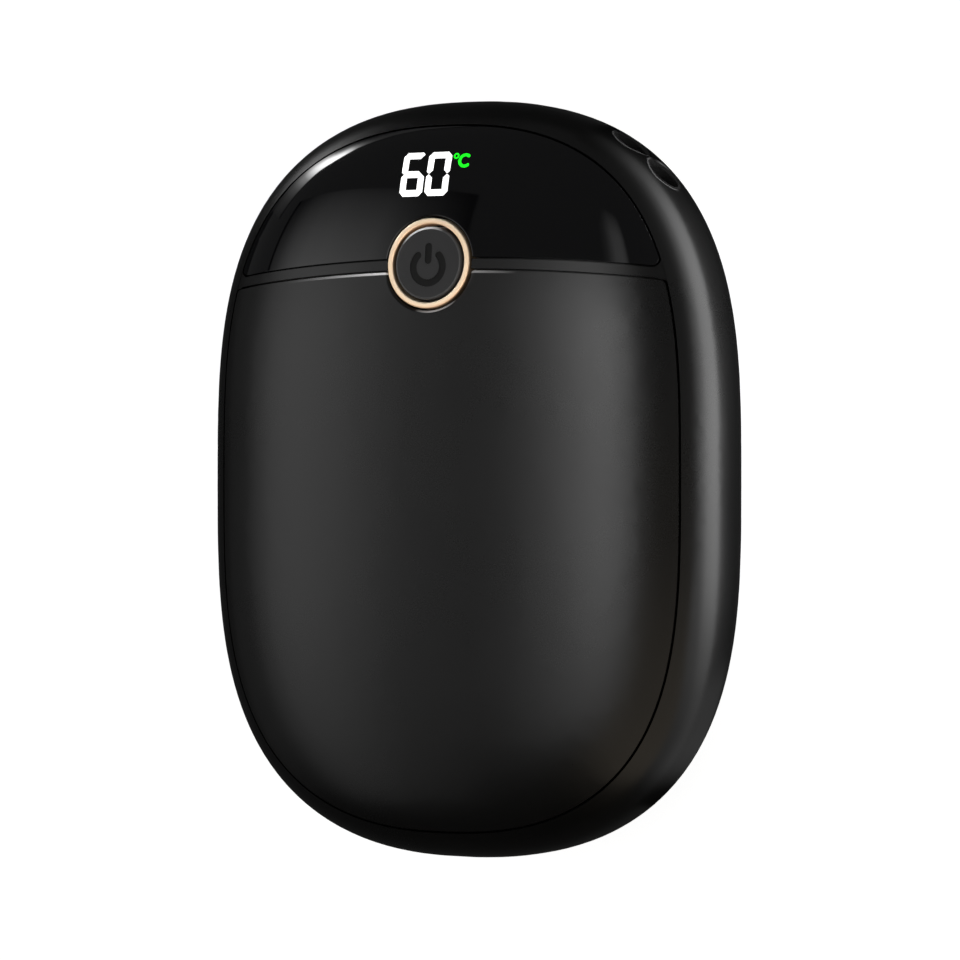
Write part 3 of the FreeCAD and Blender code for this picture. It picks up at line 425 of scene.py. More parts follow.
# The strap's mouths, in mm: the width of the painted highlight on their rims, the heights over the mouths' axes
# between which it comes to its full share, and how far round the strap's spot all this reaches. A band from under
# zero is a whole disc.
RIM_HIGHLIGHT_WIDTH, RIM_HIGHLIGHT_RISE, RIM_HIGHLIGHT_SHARE = 0.22, (-0.5, 1.0), 0.1
MOUTH_REACH = 3 * MOUTH_RADIUS
# Painted shade down inside the strap's mouths.
MOUTH_PAINTED_SHADE, WHOLE_DISC = tint(1, 1, 1), -0.1


def moulded_band():
    """Satin black moulding, dull and with painted shade down in the strap's mouths, and a near-white painted
    highlight on their rims.
    """
    material, tree, shader = grained(
        "satin black band", (6, 6, 6), (8, 8, 8), (0.26, 0.3), 2600.0, 40.0, 0.05, 0.3
    )
    across, along_y, height, away = from_axis(tree, *STRAP_SPOT)
    aside = calculate(
        tree, "SUBTRACT", calculate(tree, "MULTIPLY", along_y, math.cos(STRAP_TURN)),
        calculate(tree, "MULTIPLY", across, math.sin(STRAP_TURN)),
    )
    aside = calculate(tree, "SUBTRACT", calculate(tree, "ABSOLUTE", aside), MOUTH_OFFSET * MM)
    above = calculate(tree, "SUBTRACT", height, STRAP_HEIGHT * MM)
    square = calculate(tree, "MULTIPLY", above, above)
    out = calculate(tree, "SQRT", calculate(tree, "MULTIPLY_ADD", aside, aside, square))
    corner = calculate(tree, "LESS_THAN", away, MOUTH_REACH * MM)
    # Painted shade and dullness inside the mouths.
    sunk = calculate(tree, "MULTIPLY", ring_band(tree, out, WHOLE_DISC, MOUTH_RADIUS), corner)
    front = spread(tree, above, RIM_HIGHLIGHT_RISE[0] * MM, RIM_HIGHLIGHT_RISE[1] * MM, 0.0, RIM_HIGHLIGHT_SHARE)
    # Painted highlight on the mouths' rims, stronger towards the front.
    rim_highlight = calculate(tree, "MULTIPLY", ring_band(tree, out, MOUTH_RADIUS, MOUTH_RADIUS + RIM_HIGHLIGHT_WIDTH), front)
    rim_highlight = calculate(tree, "MULTIPLY", rim_highlight, corner)
    highlighted = blend_colours(tree, rim_highlight, so_far(shader, "Base Color"), PAINTED_HIGHLIGHT)
    dull = calculate(tree, "MAXIMUM", so_far(shader, "Roughness"), sunk)
    surface(tree, shader, blend_colours(tree, sunk, highlighted, MOUTH_PAINTED_SHADE), dull)
    return material


TRACKS = {"Scale": 260.0, "Mortar Size": 0.045, "Brick Width": 0.9, "Row Height": 0.22}
PAD_SCALE, PAD_RADIUS = 330.0, 0.13
MASK_DARK, MASK_LIGHT = tint(16, 74, 40), tint(24, 92, 52)
TRACK_GREEN, PAD_TIN = tint(50, 128, 70), tint(206, 200, 186)


def circuit_board():
    """Green solder mask with copper tracks showing through and tinned pads."""
    material, tree, shader = new_finish("green circuit board")
    bricks = tree.nodes.new("ShaderNodeTexBrick")
    for label, value in TRACKS.items():
        bricks.inputs[label].default_value = value
    tree.links.new(object_point(tree), bricks.inputs["Vector"])
    tracks = bricks.outputs["Fac"]
    pad = calculate(tree, "LESS_THAN", cells(tree, PAD_SCALE), PAD_RADIUS)
    skin = skin_of(tree, 2500.0, 120.0, (0.25, 0.4))
    mask = blend_colours(tree, skin.outputs["Tone"], MASK_DARK, MASK_LIGHT)
    tracked = blend_colours(tree, tracks, mask, TRACK_GREEN)
    surface(tree, shader, blend_colours(tree, pad, tracked, PAD_TIN), skin.outputs["Roughness"])
    tree.links.new(pad, shader.inputs["Metallic"])
    raise_surface(tree, shader, calculate(tree, "ADD", tracks, pad), 0.4, 0.03 * MM)
    return material


FILM_ROWS, FILM_LINE_HALF, FILM_REACH = 500.0, 0.2, 21.0  # rows per metre, share of a row, mm
FILM_DARK, FILM_LIGHT, FILM_TRACK = tint(176, 92, 22), tint(198, 116, 36), tint(120, 62, 28)


def heater_film():
    """Amber film with the lines of its etched heater track."""
    material, tree, shader = new_finish("amber heater film")
    axes = object_axes(tree)
    rows = calculate(tree, "PINGPONG", calculate(tree, "MULTIPLY", axes["Y"], FILM_ROWS), 1.0)
    near_line = calculate(tree, "ABSOLUTE", calculate(tree, "SUBTRACT", rows, 0.5))
    line = calculate(tree, "LESS_THAN", near_line, FILM_LINE_HALF)
    inside = calculate(tree, "LESS_THAN", calculate(tree, "ABSOLUTE", axes["X"]), FILM_REACH * MM)
    track = calculate(tree, "MULTIPLY", line, inside)
    skin = skin_of(tree, 1800.0, 80.0, (0.2, 0.35))
    film = blend_colours(tree, skin.outputs["Tone"], FILM_DARK, FILM_LIGHT)
    surface(tree, shader, blend_colours(tree, track, film, FILM_TRACK), skin.outputs["Roughness"])
    raise_surface(tree, shader, track, 0.4, 0.04 * MM)
    return material


def pouch_foil():
    """Silver pouch film, slightly creased."""
    material, tree, shader = new_finish("silver pouch foil", metal=1.0)
    skin = skin_of(tree, 2200.0, 50.0, (0.28, 0.42))
    colour = blend_colours(tree, skin.outputs["Tone"], tint(176, 178, 180), tint(206, 208, 210))
    surface(tree, shader, colour, skin.outputs["Roughness"])
    raise_surface(tree, shader, noise(tree, object_point(tree), 90.0, 5.0, 0.6), 0.5, 0.3 * MM)
    return material


FOAM_CELLS, FOAM_CELL_DEPTH = 2200.0, 0.6


def cellular_foam():
    """Soft insulating foam with open cells."""
    material, tree, shader = new_finish("grey insulating foam", specular=0.2)
    depth = cells(tree, FOAM_CELLS)
    tone = spread(tree, depth, 0.0, FOAM_CELL_DEPTH, 0.0, 1.0)
    colour = blend_colours(tree, tone, tint(58, 60, 64), tint(96, 98, 102))
    surface(tree, shader, colour, spread(tree, tone, 0.0, 1.0, 0.95, 0.8))
    raise_surface(tree, shader, depth, 0.7, 0.1 * MM)
    return material


# Name, dark and light tint, gloss from and to, grain, mottle, bump and, where it isn't the usual one, specular.
GRAINED = {
    "window_gloss": ("smoked gloss window", (4, 4, 5), (6, 6, 7), (0.03, 0.05), 900.0, 30.0, 0.004, 0.3),
    "tape_black": ("black tape", (22, 22, 22), (30, 30, 30), (0.6, 0.75), 1500.0, 200.0, 0.3),
    "mark_grey": ("power sign paint", (10, 10, 10), (13, 13, 13), (0.55, 0.65), 4000.0, 300.0, 0.1, 0.15),
    "switch_black": ("switch plastic", (24, 24, 26), (32, 32, 34), (0.4, 0.5), 2500.0, 300.0, 0.1),
    "display_black": ("display frame", (18, 18, 19), (24, 24, 25), (0.35, 0.45), 2600.0, 200.0, 0.1),
    "gasket_black": ("gasket rubber", (20, 20, 20), (27, 27, 27), (0.7, 0.85), 1800.0, 200.0, 0.3),
    "chip_black": ("chip resin", (26, 26, 28), (36, 36, 38), (0.55, 0.7), 4000.0, 400.0, 0.3),
    "coil_grey": ("coil ferrite", (62, 62, 66), (84, 84, 88), (0.55, 0.7), 3000.0, 400.0, 0.35),
    "cap_tan": ("capacitor ceramic", (150, 112, 72), (178, 138, 94), (0.4, 0.55), 4000.0, 500.0, 0.2),
    "usb_core_black": ("socket core", (20, 20, 21), (28, 28, 29), (0.4, 0.5), 3000.0, 300.0, 0.1),
    "tray_white": ("tray plastic", (206, 206, 202), (222, 222, 218), (0.45, 0.55), 2200.0, 60.0, 0.15),
    "lead_red": ("red silicone lead", (158, 20, 18), (186, 30, 26), (0.4, 0.5), 2600.0, 500.0, 0.1),
    "lead_black": ("black silicone lead", (20, 20, 20), (30, 30, 30), (0.4, 0.5), 2600.0, 500.0, 0.1),
    "lead_white": ("white silicone lead", (206, 206, 200), (226, 226, 220), (0.4, 0.5), 2600.0, 500.0, 0.1),
    "bead_dark": ("sensor bead glaze", (34, 26, 20), (52, 40, 30), (0.15, 0.25), 2000.0, 600.0, 0.1),
}
# Name, dark and light tint, gloss from and to, and how close the lines lie along each axis.
METALS = {
    "switch_steel": ("switch steel", (176, 176, 172), (204, 204, 200), (0.22, 0.34), (80.0, 4000.0, 4000.0)),
    "screw_steel": ("screw steel", (150, 150, 152), (192, 192, 194), (0.25, 0.4), (3000.0, 3000.0, 400.0)),
    "usb_steel": ("socket steel", (170, 172, 176), (206, 208, 212), (0.2, 0.32), (4000.0, 80.0, 4000.0)),
    "contact_gold": ("contact gold", (214, 172, 84), (240, 204, 122), (0.18, 0.28), (4000.0, 200.0, 4000.0)),
    "tab_nickel": ("tab nickel", (178, 174, 164), (210, 206, 196), (0.25, 0.38), (4000.0, 150.0, 4000.0)),
}
FINISHES = {
    "band_black": moulded_band(),
    "plate_black": heat_plate(),
    "rose_gold": rose_gold(),
    "button_black": button_cap(),
    "board_green": circuit_board(),
    "digit_white": lit("lit digit bars", (255, 255, 255)),
    "unit_green": lit("lit unit bars", (20, 240, 30)),
    "cell_silver": pouch_foil(),
    "film_amber": heater_film(),
    "foam_grey": cellular_foam(),
}
FINISHES.update((slot, grained(*values)[0]) for slot, values in GRAINED.items())
FINISHES.update((slot, metal_sheet(*values)) for slot, values in METALS.items())

for node in nodes.values():
    for place in node.material_slots:
        place.material = FINISHES[place.material.name.split(".")[0]]


# The window again with the exact normals of the crown on its face, so that its reflections run true.

FACE_SKIN = 0.006  # a point no further than this under the crown is on the face, in mm


def true_window():
    data = nodes["display_window"].data.copy()
    data.name = "smoked_window"
    facing_now = [corner.vector.copy() for corner in data.corner_normals]
    for loop in data.loops:
        x, y, z = data.vertices[loop.vertex_index].co / MM
        if z > crown_height(x, y) - FACE_SKIN:
            facing_now[loop.index] = crown_normal(x, y)
    data.normals_split_custom_set(facing_now)
    piece = in_scene("smoked_window", data)
    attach(piece, "casing")
    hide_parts("display_window")


true_window()


# The switch's snap dome again, as a piece with its own mesh. The real dome flattens under the plunger.

dome = in_scene("snap_dome", nodes["switch_dome"].data.copy())
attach(dome, "casing")
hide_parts("switch_dome")
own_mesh(dome)


# The lit readout, seen through the smoked window: thin bars that follow its crown. Lengths are in mm.

READOUT_PROUD, READOUT_DEPTH = 0.05, 0.12
EDGE_CUTS, ARC_STEPS, TIP_SEGMENTS = 3, 24, 16
DIGIT_WIDTH, DIGIT_HEIGHT = 3.2, 5.6
DIGIT_STROKE, DIGIT_CHAMFER, DIGIT_SPLIT = 0.82, 0.5, 0.03
OUTER_SHARE, TIP_SHARE, INNER_SHARE, MIDDLE_SHARE = 0.35, 0.4, 0.55, 0.52  # of the stroke, where bars meet
DIGIT_Y = 38.2
SIX_X, ZERO_X = -3.27, 0.26
DEGREE_CENTRE, DEGREE_RADIUS, DEGREE_STROKE = (2.47, 40.42), 0.28, 0.2
LETTER_CENTRE, LETTER_RADIUS, LETTER_STROKE = (3.74, 39.8), 0.72, 0.38
LETTER_MOUTH = math.radians(52)
NEARLY = 1e-6


def bar_corners(bar):
    """Corners of one bar of a digit about the digit's middle."""
    x, y, s, c, gap = DIGIT_WIDTH / 2, DIGIT_HEIGHT / 2, DIGIT_STROKE, DIGIT_CHAMFER, DIGIT_SPLIT
    outer, tip, inner, half = s * OUTER_SHARE, s * TIP_SHARE, s * INNER_SHARE, s * MIDDLE_SHARE
    lying = [
        (-x + c + gap, y), (x - c - gap, y), (x - c / 2 - gap, y - c / 2),
        (x - s - gap, y - s), (-x + s + gap, y - s), (-x + c / 2 + gap, y - c / 2),
    ]
    upright = [
        (-x, y - c - gap), (-x + c / 2, y - c / 2 - gap), (-x + s, y - s - gap),
        (-x + s, inner + gap), (-x + tip, gap), (-x, outer + gap),
    ]
    middle = [
        (-x + tip + gap, 0), (-x + s + gap, half), (x - s - gap, half),
        (x - tip - gap, 0), (x - s - gap, -half), (-x + s + gap, -half),
    ]
    return {
        "top": lying, "middle": middle, "bottom": [(px, -py) for px, py in lying],
        "upper left": upright, "lower left": [(px, -py) for px, py in upright],
        "upper right": [(-px, py) for px, py in upright], "lower right": [(-px, -py) for px, py in upright],
    }[bar]


def set_on_crown(mesh):
    """Lays a flat drawing on the window's crown, gives it depth and turns its millimetres into metres."""
    bmesh.ops.subdivide_edges(mesh, edges=mesh.edges[:], cuts=EDGE_CUTS, use_grid_fill=True)
    bmesh.ops.triangulate(mesh, faces=[f for f in mesh.faces if len(f.verts) > 4])
    drawn = mesh.faces[:]
    sunk = bmesh.ops.extrude_face_region(mesh, geom=drawn, use_keep_orig=True)["geom"]
    lower = {v for v in sunk if isinstance(v, bmesh.types.BMVert)}
    for v in mesh.verts:
        height = crown_height(v.co.x, v.co.y) + READOUT_PROUD
        v.co.z = height - READOUT_DEPTH if v in lower else height
    bmesh.ops.recalc_face_normals(mesh, faces=mesh.faces[:])
    bmesh.ops.scale(mesh, vec=(MM, MM, MM), verts=mesh.verts[:])


def finished_piece(name, mesh, body, slot):
    piece = from_bmesh(name, mesh, FINISHES[slot])
    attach(piece, body)


def lit_digit(name, x, bars):
    mesh = bmesh.new()
    for bar in bars:
        mesh.faces.new([mesh.verts.new((x + px, DIGIT_Y + py, 0.0)) for px, py in bar_corners(bar)])
    set_on_crown(mesh)
    finished_piece(name, mesh, "casing", "digit_white")


def stroke_arc(mesh, centre, radius, width, start, sweep):
    """A flat round stroke about a centre; one of a whole turn closes on itself, and another has round tips."""
    turn = Matrix.Rotation(start, 3, "Z")
    middle = Vector((centre[0], centre[1], 0.0))
    reaches = (radius - width / 2, radius + width / 2)
    ends = [mesh.verts.new(middle + turn @ Vector((reach, 0.0, 0.0))) for reach in reaches]
    edge = mesh.edges.new(ends)
    whole = abs(sweep - math.tau) < NEARLY
    bmesh.ops.spin(
        mesh, geom=ends + [edge], cent=middle, axis=(0, 0, 1), angle=sweep, steps=ARC_STEPS,
        use_merge=whole, use_normal_flip=False, use_duplicate=False,
    )
    if not whole:
        for angle in (start, start + sweep):
            tip = middle + Vector((math.cos(angle), math.sin(angle), 0.0)) * radius
            bmesh.ops.create_circle(
                mesh, cap_ends=True, radius=width / 2, segments=TIP_SEGMENTS, matrix=Matrix.Translation(tip)
            )


lit_digit("lit_six", SIX_X, ("top", "upper left", "middle", "lower left", "bottom", "lower right"))
lit_digit("lit_zero", ZERO_X, ("top", "upper left", "upper right", "lower left", "lower right", "bottom"))
unit = bmesh.new()
stroke_arc(unit, DEGREE_CENTRE, DEGREE_RADIUS, DEGREE_STROKE, 0.0, math.tau)
stroke_arc(unit, LETTER_CENTRE, LETTER_RADIUS, LETTER_STROKE, LETTER_MOUTH, math.tau - 2 * LETTER_MOUTH)
set_on_crown(unit)
finished_piece("lit_unit", unit, "casing", "unit_green")


# Floor, lamps and camera. From here on lengths are in metres and angles in degrees, unless a comment says so.

CENTRE = Vector((0.0, 0.0, MID * MM))
CARD_SEGMENTS = 48


def facing(back, upright):
    """A turn whose Z points along back and whose Y is as near to upright as it can be."""
    z = Vector(back).normalized()
    x = Vector(upright).cross(z).normalized()
    return Matrix((x, z.cross(x), z)).transposed()


def along(stops, place):
    """Value at a place between stops, each a place with its value, held past the ends."""
    before = stops[0]
    for stop in stops:
        if place <= stop[0]:
            share = (place - before[0]) / (stop[0] - before[0]) if stop[0] > before[0] else 1.0
            return before[1] + (stop[1] - before[1]) * share
        before = stop
    return before[1]


def ends(stops):
    """First and last place of stops."""
    return stops[0][0], stops[-1][0]


def around(turn, out, height):
    """Point at an angle round the upright axis, a distance out and a height."""
    turn = math.radians(turn)
    return Vector((out * math.cos(turn), out * math.sin(turn), height))


def unlit_finish(name):
    """A new material with nothing but its output."""
    material = bpy.data.materials.new(name)
    material.use_nodes = True
    tree = material.node_tree
    tree.nodes.remove(tree.nodes["Principled BSDF"])
    return material, tree, tree.nodes["Material Output"].inputs["Surface"]


def card_glow(name, colour):
    """Light of a lamp's diffuser, as strong at each point as the card's own glow says."""
    material, tree, output = unlit_finish(name)
    level = tree.nodes.new("ShaderNodeAttribute")
    level.attribute_name = "glow"
    light = tree.nodes.new("ShaderNodeEmission")
    light.inputs["Color"].default_value = colour
    front = calculate(tree, "SUBTRACT", 1.0, tree.nodes.new("ShaderNodeNewGeometry").outputs["Backfacing"])
    tree.links.new(calculate(tree, "MULTIPLY", level.outputs["Fac"], front), light.inputs["Strength"])
    tree.links.new(light.outputs[0], output)
    return material


WHITE_GLOW = card_glow("lamp diffuser", (1.0, 1.0, 1.0, 1.0))
WARM_GLOW = card_glow("warm lamp diffuser", (1.0, 0.87, 0.7, 1.0))


def lamp_card(name, across, upward, place, level, lying=False, diffuser=WHITE_GLOW):
    """A lamp's diffuser that only the object sees; place and level give each point's spot and brightness.
    One lying on the floor shows in reflections only, so that the floor under it stays lit."""
    mesh = bmesh.new()
    bmesh.ops.create_grid(mesh, x_segments=CARD_SEGMENTS, y_segments=CARD_SEGMENTS, size=0.5)
    glow = mesh.verts.layers.float.new("glow")
    for v in mesh.verts:
        x = across[0] + (across[1] - across[0]) * (v.co.x + 0.5)
        y = upward[0] + (upward[1] - upward[0]) * (v.co.y + 0.5)
        v[glow] = level(x, y)
        v.co = place(x, y)
    mesh.normal_update()
    mesh.faces.ensure_lookup_table()
    middle = mesh.faces[len(mesh.faces) // 2]
    if middle.normal.dot(CENTRE - middle.calc_center_median()) < 0:
        bmesh.ops.reverse_faces(mesh, faces=mesh.faces[:])
    card = from_bmesh(name, mesh, diffuser)
    card.visible_camera = False
    card.visible_shadow = False
    card.visible_diffuse = not lying


def light_path(tree, *rays):
    """1 for the named kinds of ray and 0 for the others."""
    path = tree.nodes.new("ShaderNodeLightPath")
    seen = path.outputs[rays[0]]
    for ray in rays[1:]:
        seen = calculate(tree, "MAXIMUM", seen, path.outputs[ray])
    return seen


FLOOR_DARK, FLOOR_LIGHT = tint(122, 122, 122), tint(126, 126, 126)
FLOOR_SEEN, FLOOR_MIRRORED = 0.92, 0.03
FLOOR_HALF, FLOOR_SEGMENTS, FLOOR_DROP = 3.0, 8, 0.0001


def floor_finish():
    """Pale studio floor: white to the camera, toned down in reflections, with the object's shadow kept."""
    material, tree, output = unlit_finish("pale floor")
    tone = skin_of(tree, 200.0, 3.0, (0.9, 1.0)).outputs["Tone"]
    matte = tree.nodes.new("ShaderNodeBsdfDiffuse")
    tree.links.new(blend_colours(tree, tone, FLOOR_DARK, FLOOR_LIGHT), matte.inputs["Color"])
    white = tree.nodes.new("ShaderNodeEmission")
    strength = calculate(tree, "MULTIPLY", light_path(tree, "Is Camera Ray"), FLOOR_SEEN)
    tree.links.new(strength, white.inputs["Strength"])
    seen = tree.nodes.new("ShaderNodeAddShader")
    tree.links.new(matte.outputs[0], seen.inputs[0])
    tree.links.new(white.outputs[0], seen.inputs[1])
    mirrored = tree.nodes.new("ShaderNodeEmission")
    mirrored.inputs["Strength"].default_value = FLOOR_MIRRORED
    either = tree.nodes.new("ShaderNodeMixShader")
    tree.links.new(light_path(tree, "Is Glossy Ray", "Is Transmission Ray"), either.inputs[0])
    tree.links.new(seen.outputs[0], either.inputs[1])
    tree.links.new(mirrored.outputs[0], either.inputs[2])
    tree.links.new(either.outputs[0], output)
    return material


ground = bmesh.new()
bmesh.ops.create_grid(ground, x_segments=FLOOR_SEGMENTS, y_segments=FLOOR_SEGMENTS, size=FLOOR_HALF)
bmesh.ops.translate(ground, vec=(0, 0, -FLOOR_DROP), verts=ground.verts[:])
floor = from_bmesh("floor", ground, floor_finish())

# The room: dim all round, dark beyond the foot of the object, and white to the camera.
ROOM_FOOT, ROOM_LEVELS = (-0.64, -0.4), (0.02, 0.17)
world = bpy.data.worlds.new("studio")
scene.world = world
world.use_nodes = True
room = world.node_tree
background = room.nodes["Background"]
toward_wall = room.nodes.new("ShaderNodeSeparateXYZ")
room.links.new(room.nodes.new("ShaderNodeTexCoord").outputs["Generated"], toward_wall.inputs[0])
dim = spread(room, toward_wall.outputs["Y"], *ROOM_FOOT, *ROOM_LEVELS)
bright_room = calculate(room, "MAXIMUM", dim, light_path(room, "Is Camera Ray"))
room.links.new(bright_room, background.inputs["Strength"])
background.inputs["Color"].default_value = (1, 1, 1, 1)

# Left softbox, leaning over the object, brightest in its middle and dark at its right-hand edge.
LEFT = Vector((-0.75, 0.0, 0.66)).normalized()
LEFT_ACROSS = Vector((0.66, 0.0, 0.75)).normalized()
LEFT_GLOW_ACROSS = [
    (-0.355, 0.0), (-0.335, 0.0), (-0.322, 0.22), (-0.26, 0.34), (-0.15, 0.8),
    (-0.05, 1.06), (0.06, 1.08), (0.25, 0.84), (0.38, 0.24), (0.47, 0.02),
]
LEFT_GLOW_ALONG = [
    (-0.9, 0.45), (-0.65, 0.62), (-0.42, 0.92), (-0.15, 1.4), (0.05, 2.1),
    (0.18, 2.2), (0.3, 1.5), (0.44, 0.8), (0.58, 0.3),
]
LEFT_TOP = [(-0.355, 0.99), (0.47, 1.06)]


def left_place(x, y):
    """Spot on the left softbox, whose upper part is a little longer to the right."""
    stretch = along(LEFT_TOP, x) if y > 0 else 1
    return CENTRE + LEFT + LEFT_ACROSS * x + Vector((0, y * stretch, 0))


lamp_card(
    "left_softbox", ends(LEFT_GLOW_ACROSS), ends(LEFT_GLOW_ALONG), left_place,
    lambda x, y: along(LEFT_GLOW_ACROSS, x) * along(LEFT_GLOW_ALONG, y),
)

# Softbox overhead, strongest towards the display end, more even across near the foot and cut off beyond it.
OVER_HEIGHT = 1.0
OVER_GLOW_ACROSS = [
    (-0.3, 0.02), (-0.15, 0.42), (-0.05, 0.64), (0.03, 1.04),
    (0.09, 1.14), (0.21, 0.84), (0.29, 0.56), (0.335, 0.32),
]
OVER_EVEN, OVER_EVEN_GLOW = [(-0.5, 0.35), (-0.25, 0.3), (-0.05, 0.0)], 0.9
OVER_GLOW_ALONG = [(-0.48, 1.6), (-0.35, 1.9), (-0.15, 2.6), (0.0, 4.2), (0.15, 6.2), (0.3, 6.4)]
TAIL_GLOW_ACROSS = [(0.14, 0.1), (0.2, 0.3), (0.27, 0.92), (0.33, 1.0), (0.365, 0.8), (0.405, 0.1)]
TAIL_GLOW_ALONG, TAIL_LEAST = [(0.3, 1.35), (0.55, 1.05), (0.74, 0.2)], 0.17


def over_place(x, y):
    return CENTRE + Vector((x, y, OVER_HEIGHT))


def over_level(x, y):
    even = along(OVER_EVEN, y)
    return (along(OVER_GLOW_ACROSS, x) * (1 - even) + OVER_EVEN_GLOW * even) * along(OVER_GLOW_ALONG, y)


lamp_card("overhead_softbox", ends(OVER_GLOW_ACROSS), ends(OVER_GLOW_ALONG), over_place, over_level)
lamp_card(
    "overhead_tail", ends(TAIL_GLOW_ACROSS), ends(TAIL_GLOW_ALONG), over_place,
    lambda x, y: max(TAIL_LEAST, along(TAIL_GLOW_ACROSS, x) * along(TAIL_GLOW_ALONG, y)),
)

# Tall warm card past the foot on the right-hand side; its left-hand part is black, with a leaning edge.
FOOT_AWAY = 0.6
FOOT_GLOW_ROUND = [
    (-95, 1.2), (-75, 1.2), (-57, 1.05), (-45, 0.88), (-35, 0.82), (-24, 0.8), (-16, 0.66), (-9, 0.5), (-3, 0.28),
]
FOOT_GLOW_UP = [(-2, 1.04), (30, 1.04), (45, 0.86), (55, 0.78)]
FOOT_LOW, FOOT_TOP = -1.2, [(-95, 57), (-60, 60), (-30, 67)]
FOOT_LEAN = Vector((0.833, 0.47, 0.274))
FOOT_EDGE = [(-0.01, 0.0), (0.06, 1.0)]


def foot_rise(turn, share):
    """Elevation at a share of the card's height."""
    return FOOT_LOW + share * (along(FOOT_TOP, turn) - FOOT_LOW)


def toward_spot(turn, share):
    """Unit vector towards a spot on the card."""
    rise = math.radians(foot_rise(turn, share))
    return around(turn, math.cos(rise), math.sin(rise))


def foot_level(turn, share):
    edge = along(FOOT_EDGE, FOOT_LEAN.dot(toward_spot(turn, share)))
    return along(FOOT_GLOW_ROUND, turn) * along(FOOT_GLOW_UP, foot_rise(turn, share)) * edge


lamp_card(
    "foot_card", ends(FOOT_GLOW_ROUND), (0.0, 1.0),
    lambda turn, share: CENTRE + FOOT_AWAY * toward_spot(turn, share), foot_level, diffuser=WARM_GLOW,
)

# Strip light on the floor along the right-hand side, bent round the object, and lower at the foot, in mm.
SIDE_HALF_WIDTH, SIDE_HALF_LENGTH = 55.5, 68.0
SIDE_INNER_SHARE, SIDE_FLOOR = 0.74, 0.3
SIDE_GLOW_ROUND = [
    (-60, 0.03), (-53, 0.06), (-50, 0.3), (-47, 0.64), (-43, 0.7), (-38, 0.75), (-34, 0.92), (-30, 1.15),
    (-24, 1.9), (-20, 2.5), (-12, 4.5), (4, 6.1), (30, 6.0), (40, 4.6), (50, 1.9), (60, 0.4), (70, 0.0),
]
SIDE_GLOW_UP = [(0, 0.85), (4, 0.9), (10, 1.0), (16, 1.0), (18.5, 0.62), (22, 0.36), (25, 0.22), (27, 0.0)]
SIDE_RISE, SIDE_RISE_FULL = [(8, 0.0), (30, 5.5), (48, 8.5), (70, 9.5)], 20
SIDE_HEIGHT = [(-60, 0.7), (-35, 0.75), (-24, 0.95), (-15, 1.0)]
SIDE_EVEN = [(-35, 0.9), (-28, 0.8), (-20, 0.5), (-12, 0.3), (-5, 0.0)]


def beside(turn, share):
    """Spot on the floor beside the object, at a share of the way out to the strip."""
    reach = SIDE_INNER_SHARE + (1 - SIDE_INNER_SHARE) * share
    turn = math.radians(turn)
    return Vector((
        reach * SIDE_HALF_WIDTH * math.cos(turn), reach * SIDE_HALF_LENGTH * math.sin(turn), SIDE_FLOOR
    ))


def side_place(turn, rise):
    """Spot on the strip, which is the shorter the more its foot is raised."""
    foot = along(SIDE_RISE, turn)
    height = rise * (1 - foot / SIDE_RISE_FULL) * along(SIDE_HEIGHT, turn)
    return MM * (beside(turn, 1.0) + Vector((0, 0, foot + height)))


lamp_card(
    "side_strip", ends(SIDE_GLOW_ROUND), ends(SIDE_GLOW_UP), side_place,
    lambda turn, rise: along(SIDE_GLOW_ROUND, turn) * max(along(SIDE_GLOW_UP, rise), along(SIDE_EVEN, turn)),
)

# Its light thrown back from the floor in front of it.
BESIDE_OUT = [(0.0, 0.0), (0.14, 0.02), (0.42, 0.07), (0.83, 0.16), (1.0, 0.3)]
BESIDE_ROUND = [(5, 1.0), (25, 0.45), (45, 0.3)]
BESIDE_FOOT = [(-54, 0.0), (-51, 0.08), (-49, 0.15), (-44, 0.22), (-32, 0.22), (-28, 0.06), (-24, 0.0)]
BESIDE_FOOT_OUT = [(0.0, 0.6), (1.0, 1.4)]


def bounce_level(turn, share):
    thrown = along(SIDE_GLOW_ROUND, turn) * along(BESIDE_ROUND, turn) * along(BESIDE_OUT, share)
    return thrown + along(BESIDE_FOOT, turn) * along(BESIDE_FOOT_OUT, share)


lamp_card(
    "side_bounce", ends(SIDE_GLOW_ROUND), ends(BESIDE_OUT),
    lambda turn, share: MM * (beside(turn, share) + Vector((0, 0, along(SIDE_RISE, turn) * share))),
    bounce_level, lying=True,
)

# Short strip light standing beyond the left-hand corner of the display end.
CORNER_OUT, CORNER_REACH, CORNER_HEIGHT = 0.3, 0.26, 0.022
CORNER_GLOW_ROUND = [
    (100, 0.3), (122, 0.45), (124.7, 0.6), (126.8, 1.2), (129, 4.0), (132.2, 25.0), (135.7, 31.0), (139, 19.5),
    (142, 4.3), (145, 1.1), (148, 0.4), (152, 0.2),
]
CORNER_TOP = [(100, 12.5), (124.7, 13.2), (129, 12.7), (132.2, 13.1), (135.7, 12.5), (139, 11.3), (152, 11.3)]
CORNER_SOFT = [(129, 0.6), (132.2, 0.6), (135.7, 1.0), (139, 1.25), (142, 1.6), (146, 2.0)]
CORNER_GLOW_UP = [
    (-16, 0.03), (-12, 0.12), (-10.5, 0.22), (-8.7, 0.37), (-7, 0.59), (-5.5, 0.8), (-4, 0.94), (-2.5, 1.0),
    (-0.9, 1.0), (-0.3, 0.8), (0.2, 0.0),
]
CORNER_FOOT, CORNER_FRAME = -4.0, 0.8


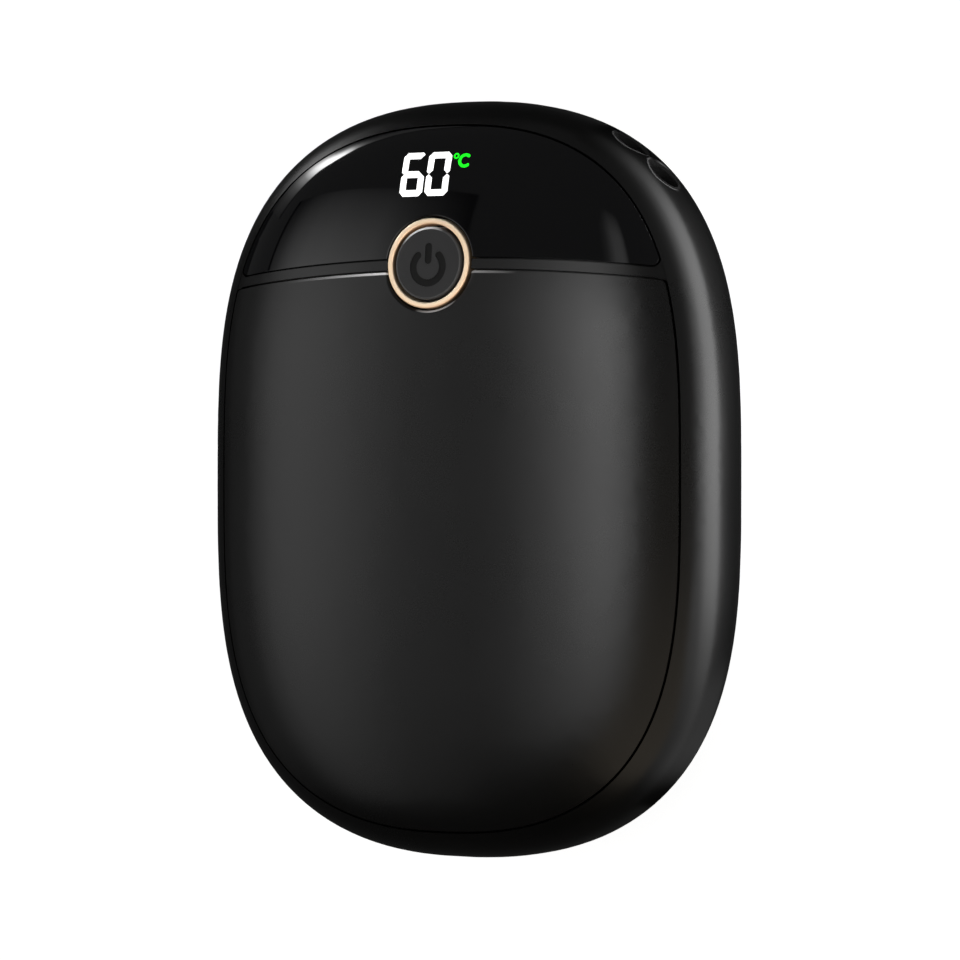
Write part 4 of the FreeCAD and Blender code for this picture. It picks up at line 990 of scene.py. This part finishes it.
def corner_rise(turn, share):
    """Elevation at a share of the strip's height, whose top edge is cut to a curve."""
    return CORNER_FOOT + share * (along(CORNER_TOP, turn) + CORNER_FRAME - CORNER_FOOT)


def corner_place(turn, share):
    rise = math.radians(corner_rise(turn, share))
    return around(turn, CORNER_OUT, CORNER_HEIGHT + CORNER_REACH * math.tan(rise))


def corner_level(turn, share):
    """Brightest just under the top edge, which is softer away from the display end."""
    under = (corner_rise(turn, share) - along(CORNER_TOP, turn)) / along(CORNER_SOFT, turn)
    return along(CORNER_GLOW_ROUND, turn) * along(CORNER_GLOW_UP, under)


lamp_card("corner_strip", ends(CORNER_GLOW_ROUND), (0.0, 1.0), corner_place, corner_level)

# The same strip's light thrown back from the floor.
THROWN_ROUND = [(122, 0.3), (128, 1.2), (132, 2.8), (138, 2.8), (142, 1.6), (147, 0.5), (152, 0.0)]
THROWN_OUT, THROWN_HEIGHT = [(0.11, 0.0), (0.14, 0.6), (0.17, 1.0), (0.27, 1.0)], 0.0005
lamp_card(
    "corner_bounce", ends(THROWN_ROUND), ends(THROWN_OUT), lambda turn, away: around(turn, away, THROWN_HEIGHT),
    lambda turn, away: along(THROWN_ROUND, turn) * along(THROWN_OUT, away), lying=True,
)

# The camera, as fitted to the photograph: turned to the strap's side, and a little to the foot.
TURN, TILT, AWAY = math.radians(25.95), math.radians(-0.35), 0.6
SENSOR, LENS, SHIFT, CLIP = 36.0, 176.7, (0.0054, -0.0008), (0.01, 20.0)
toward_camera = Vector((math.sin(TURN) * math.cos(TILT), math.sin(TILT), math.cos(TURN) * math.cos(TILT)))
camera = in_scene("camera", bpy.data.cameras.new("camera"))
camera.matrix_world = Matrix.Translation(CENTRE + toward_camera * AWAY) @ facing(toward_camera, (0, 1, 0)).to_4x4()
camera.data.sensor_width = SENSOR
camera.data.lens = LENS
camera.data.shift_x, camera.data.shift_y = SHIFT
camera.data.clip_start, camera.data.clip_end = CLIP
scene.camera = camera
scene.view_settings.view_transform = "Standard"
